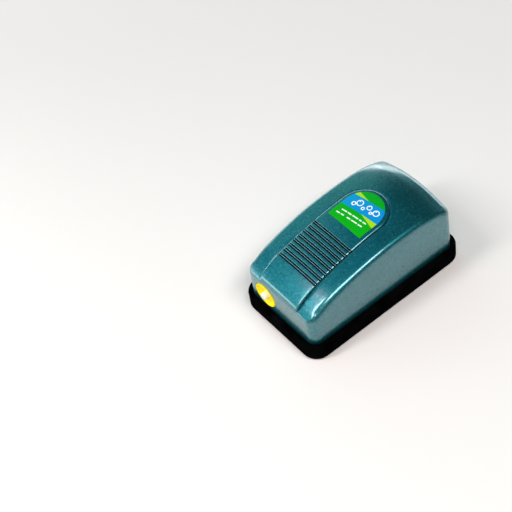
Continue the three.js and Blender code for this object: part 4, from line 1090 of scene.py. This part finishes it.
def outlet_nozzle():
    """A short tube with a flange, and a thinner end inside for the hose."""
    low, high = extent("outlet_nozzle")
    middle = (low + high) / 2
    length = high.y - low.y
    behind_flange = NOZZLE_FLANGE_AT + NOZZLE_FLANGE_THICK
    profile = rounded([  # (radius, distance from its tip, rounding)
        (NOZZLE_BORE, 0, 0.3),
        (NOZZLE_RADIUS - NOZZLE_TAPER, 0, 0.8),
        (NOZZLE_RADIUS, 2, 0),
        (NOZZLE_RADIUS, NOZZLE_FLANGE_AT, 0),
        (NOZZLE_FLANGE, NOZZLE_FLANGE_AT, 0.2),
        (NOZZLE_FLANGE, behind_flange, 0.2),
        (NOZZLE_SPIGOT, behind_flange, 0),
        (NOZZLE_SPIGOT, length - 0.4, 0.2),
        (NOZZLE_BORE, length, 0),
    ], 6)
    tube = lathe("nozzle", profile, 64, along_y(middle, low.y))
    return finish_piece(tube, "pump", "white_plastic", ["outlet_nozzle"])


# ---- Rear wall -------------------------------------------------------------------------------
GROMMET_PROFILE = [  # (radius, distance outwards from the wall's face, rounding)
    (0, -4.8, 0), (5.4, -4.8, 0.4), (5.4, -2.5, 0.2), (4, -2.5, 0), (4, 0.3, 0), (5.6, 0.3, 0.3),
    (5.2, 1.7, 0.5), (3.9, 2.4, 0.5), (0, 2.4, 0),
]


def cord_grommet():
    """A rubber ring in the rear wall with a slot for a flat cord."""
    low, high = extent("cord_grommet")
    middle = (low + high) / 2
    wall = high.y - GROMMET_PROFILE[-1][1]
    body = lathe("grommet", rounded(GROMMET_PROFILE), 64, along_y(middle, wall))
    slot_low = (middle.x - CORD_SLOT_HALF_X, wall - 8, middle.z - CORD_SLOT_HALF_Z)
    slot_high = (middle.x + CORD_SLOT_HALF_X, wall + 6, middle.z + CORD_SLOT_HALF_Z)
    boolean(body, block("slot", slot_low, slot_high, CORD_SLOT_ROUND, 6), "DIFFERENCE")
    return finish_piece(body, "pump", "grommet_rubber", ["cord_grommet"])


def switch_slider():
    """A ribbed knob on a flat carriage behind the slot."""
    low, high = extent("switch_slider")
    middle = (low + high) / 2
    x = middle.x
    z = middle.z
    face = high.y

    def centred(name, half_x, half_z, start, end, bevel):
        return block(name, (x - half_x, start, z - half_z), (x + half_x, end, z + half_z), bevel)

    knob = centred("slider", SLIDER_HALF, SLIDER_HALF, low.y + SLIDER_BURIED, face, 0.35)
    back = low.y + CARRIAGE_THICK
    boolean(knob, centred("carriage", CARRIAGE_HALF_X, CARRIAGE_HALF_Z, low.y, back, 0.2), "UNION")
    bottom = face - SLIDER_GROOVE_DEPTH
    for dx in SLIDER_GROOVES:
        left = x + dx - SLIDER_GROOVE_HALF
        right = x + dx + SLIDER_GROOVE_HALF
        groove = block("groove", (left, bottom, z - 3), (right, face + 1, z + 3), 0.12)
        boolean(knob, groove, "DIFFERENCE")
    return finish_piece(knob, "switch_knob", "switch_plastic", ["switch_slider"])


# ---- Diaphragm -------------------------------------------------------------------------------
DIAPHRAGM_STEP = 1.2  # longest stretch of its profile, so that it can bend smoothly


def diaphragm():
    """A rubber cup whose rim is held by the pump and whose hub is held by the arm; the mesh is fixed to
    neither body.
    """
    low, high = extent("diaphragm")
    middle = (low + high) / 2
    rim = low.x
    hub = high.x
    profile = rounded([  # (radius, height along X, rounding)
        (12, rim, 0.3),
        (12, rim + 1.6, 0.3),
        (10.2, rim + 1.6, 0.4),
        (9.4, hub - 4.2, 1.0),
        (8.2, hub - 1.4, 0.8),
        (6.6, hub, 0.6),
        (2.1, hub, 0.2),
        (2.1, hub - 1.4, 0.2),
        (6.2, hub - 1.6, 0.8),
        (8.0, hub - 4.6, 1.0),
        (8.6, rim, 0.2),
    ])

    def place(px, py, h):
        return (h, middle.y + px, middle.z + py)

    cup = lathe("diaphragm_cup", dense(profile, DIAPHRAGM_STEP), 64, place)
    finish_piece(cup, None, "diaphragm_rubber", ["diaphragm"])
    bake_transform(cup)
    return cup


def dense(profile, step):
    """Adds points so that none of a profile's stretches is longer than step."""
    path = []
    for i, point in enumerate(profile):
        here = Vector(point)
        after = Vector(profile[(i + 1) % len(profile)])
        pieces = max(math.ceil((after - here).length / step), 1)
        path += [tuple(here.lerp(after, k / pieces)) for k in range(pieces)]
    return path


# ---- Stage, light and camera -----------------------------------------------------------------
HORIZON = (0.66, 0.62, 0.60)  # radiance of the backdrop all round
HORIZON_TOP = 0.10  # sine of the height where it starts to fade
HORIZON_END = 0.22
PANELS = [  # (direction, angle in degrees up to which it is full, angle where it ends, radiance)
    ((-0.86, 0.11, 0.49), 8, 34, (0.26, 0.80, 0.72)),
    ((-0.60, -0.45, 0.66), 8, 30, (0.02, 0.27, 0.40)),
    ((-0.40, 0.05, 0.92), 8, 28, (0.01, 0.20, 0.32)),
    ((-0.33, -0.40, 0.86), 3, 11, (2.4, 0.85, 0.75)),
    ((0.60, -0.60, 0.55), 8, 34, (0.50, 0.35, 0.35)),
]
LAMPS = [  # (name, place, point that it faces, width, height, power)
    ("edge_strip", (0.42, -0.06, 0.78), (0, 0, 0.03), 0.60, 0.23, 5.7),
    ("front_strip", (-0.16, -0.52, 0.72), (0, 0, 0.03), 0.12, 0.40, 3.0),
    ("rear_card", (-0.23, 0.50, 0.07), (0, 0.02, 0.05), 0.5, 0.13, 0.62),
    ("left_card", (-0.52, 0.18, 0.07), (0, 0, 0.05), 0.5, 0.10, 0.50),
    ("front_card", (-0.30, -0.44, 0.12), (0, 0, 0.03), 0.4, 0.2, 1.0),
]
FLOOR_REACH = 3.0
FLOOR_PAINT = [(0.850, 0.800, 0.770), (0.870, 0.820, 0.790)]


def studio():
    """The floor, the backdrop and the lamps."""
    floor = scene_object("floor", bpy.data.meshes.new("floor"))
    corners = [(x, y, 0) for x, y in four_corners(FLOOR_REACH, FLOOR_REACH)]
    floor.data.from_pydata(corners, [], [(0, 1, 2, 3)])
    n = Nodes("floor_paint")
    n.settings(base_color=n.mix(n.noise(300, 1), *FLOOR_PAINT), roughness=0.9)
    floor.data.materials.append(n.material)
    sky()
    for lamp in LAMPS:
        area_light(*lamp)


def sky():
    """A pale backdrop all round, a dark ceiling and soft panels in it."""
    world = bpy.data.worlds.new("studio")
    bpy.context.scene.world = world
    world.use_nodes = True
    tree = world.node_tree
    place = tree.nodes.new("ShaderNodeTexCoord").outputs["Generated"]
    split = tree.nodes.new("ShaderNodeSeparateXYZ")
    tree.links.new(place, split.inputs[0])

    def scaled(value, start, end, colour):
        """The colour, faded in smoothly as value goes from start to end."""
        fade = tree.nodes.new("ShaderNodeMapRange")
        fade.interpolation_type = "SMOOTHSTEP"
        fade.inputs["From Min"].default_value = start
        fade.inputs["From Max"].default_value = end
        tree.links.new(value, fade.inputs["Value"])
        product = tree.nodes.new("ShaderNodeVectorMath")
        product.operation = "SCALE"
        product.inputs[0].default_value = colour
        tree.links.new(fade.outputs[0], product.inputs["Scale"])
        return product.outputs[0]

    total = scaled(split.outputs[2], HORIZON_END, HORIZON_TOP, HORIZON)
    for direction, full, end, colour in PANELS:
        towards = tree.nodes.new("ShaderNodeVectorMath")
        towards.operation = "DOT_PRODUCT"
        tree.links.new(place, towards.inputs[0])
        towards.inputs[1].default_value = Vector(direction).normalized()
        outer = math.cos(math.radians(end))
        inner = math.cos(math.radians(full))
        light = scaled(towards.outputs["Value"], outer, inner, colour)
        add = tree.nodes.new("ShaderNodeVectorMath")
        tree.links.new(total, add.inputs[0])
        tree.links.new(light, add.inputs[1])
        total = add.outputs[0]
    tree.links.new(total, tree.nodes["Background"].inputs["Color"])


def area_light(name, place, target, width, height, power):
    """A soft lamp that lights and reflects but isn't seen itself."""
    lamp = bpy.data.lights.new(name, "AREA")
    lamp.shape = "RECTANGLE"
    lamp.size = width
    lamp.size_y = height
    lamp.energy = power
    holder = scene_object(name, lamp)
    holder.location = place
    holder.rotation_euler = (Vector(target) - Vector(place)).to_track_quat("-Z", "Y").to_euler()
    holder.visible_camera = False


CAMERA_AIM = Vector((-38.75, -42.75, 25.10)) * MM  # left of the object, which is off the middle
CAMERA_AZIMUTH = 59.82
CAMERA_ELEVATION = 50.20
CAMERA_ROLL = -11.32
CAMERA_DISTANCE = 0.914
CAMERA_LENS = 105.36
CAMERA_SENSOR = 36.0


def camera():
    """Looks at CAMERA_AIM: azimuth 0 looks along +Y, and the roll turns it about its own line."""
    azimuth = math.radians(CAMERA_AZIMUTH)
    elevation = math.radians(CAMERA_ELEVATION)
    forward = Vector((
        -math.sin(azimuth) * math.cos(elevation),
        math.cos(azimuth) * math.cos(elevation),
        -math.sin(elevation),
    ))
    level = Vector((math.cos(azimuth), math.sin(azimuth), 0))
    upright = level.cross(forward)
    roll = math.radians(CAMERA_ROLL)
    right = level * math.cos(roll) + upright * math.sin(roll)
    up = right.cross(forward)
    data = bpy.data.cameras.new("camera")
    data.lens = CAMERA_LENS
    data.sensor_width = CAMERA_SENSOR
    data.clip_start = 0.01
    eye = scene_object("camera", data)
    eye.matrix_world = Matrix.Translation(CAMERA_AIM - forward * CAMERA_DISTANCE) @ Matrix((
        (right.x, up.x, -forward.x, 0),
        (right.y, up.y, -forward.y, 0),
        (right.z, up.z, -forward.z, 0),
        (0, 0, 0, 1),
    ))
    bpy.context.scene.camera = eye


bpy.context.scene.view_settings.view_transform = "Standard"
camera()
studio()
dress_cad_nodes()
housing()
label()
base_boot()
outlet_collar()
outlet_nozzle()
cord_grommet()
switch_slider()
diaphragm()
for number in range(1, 5):
    foot(number)
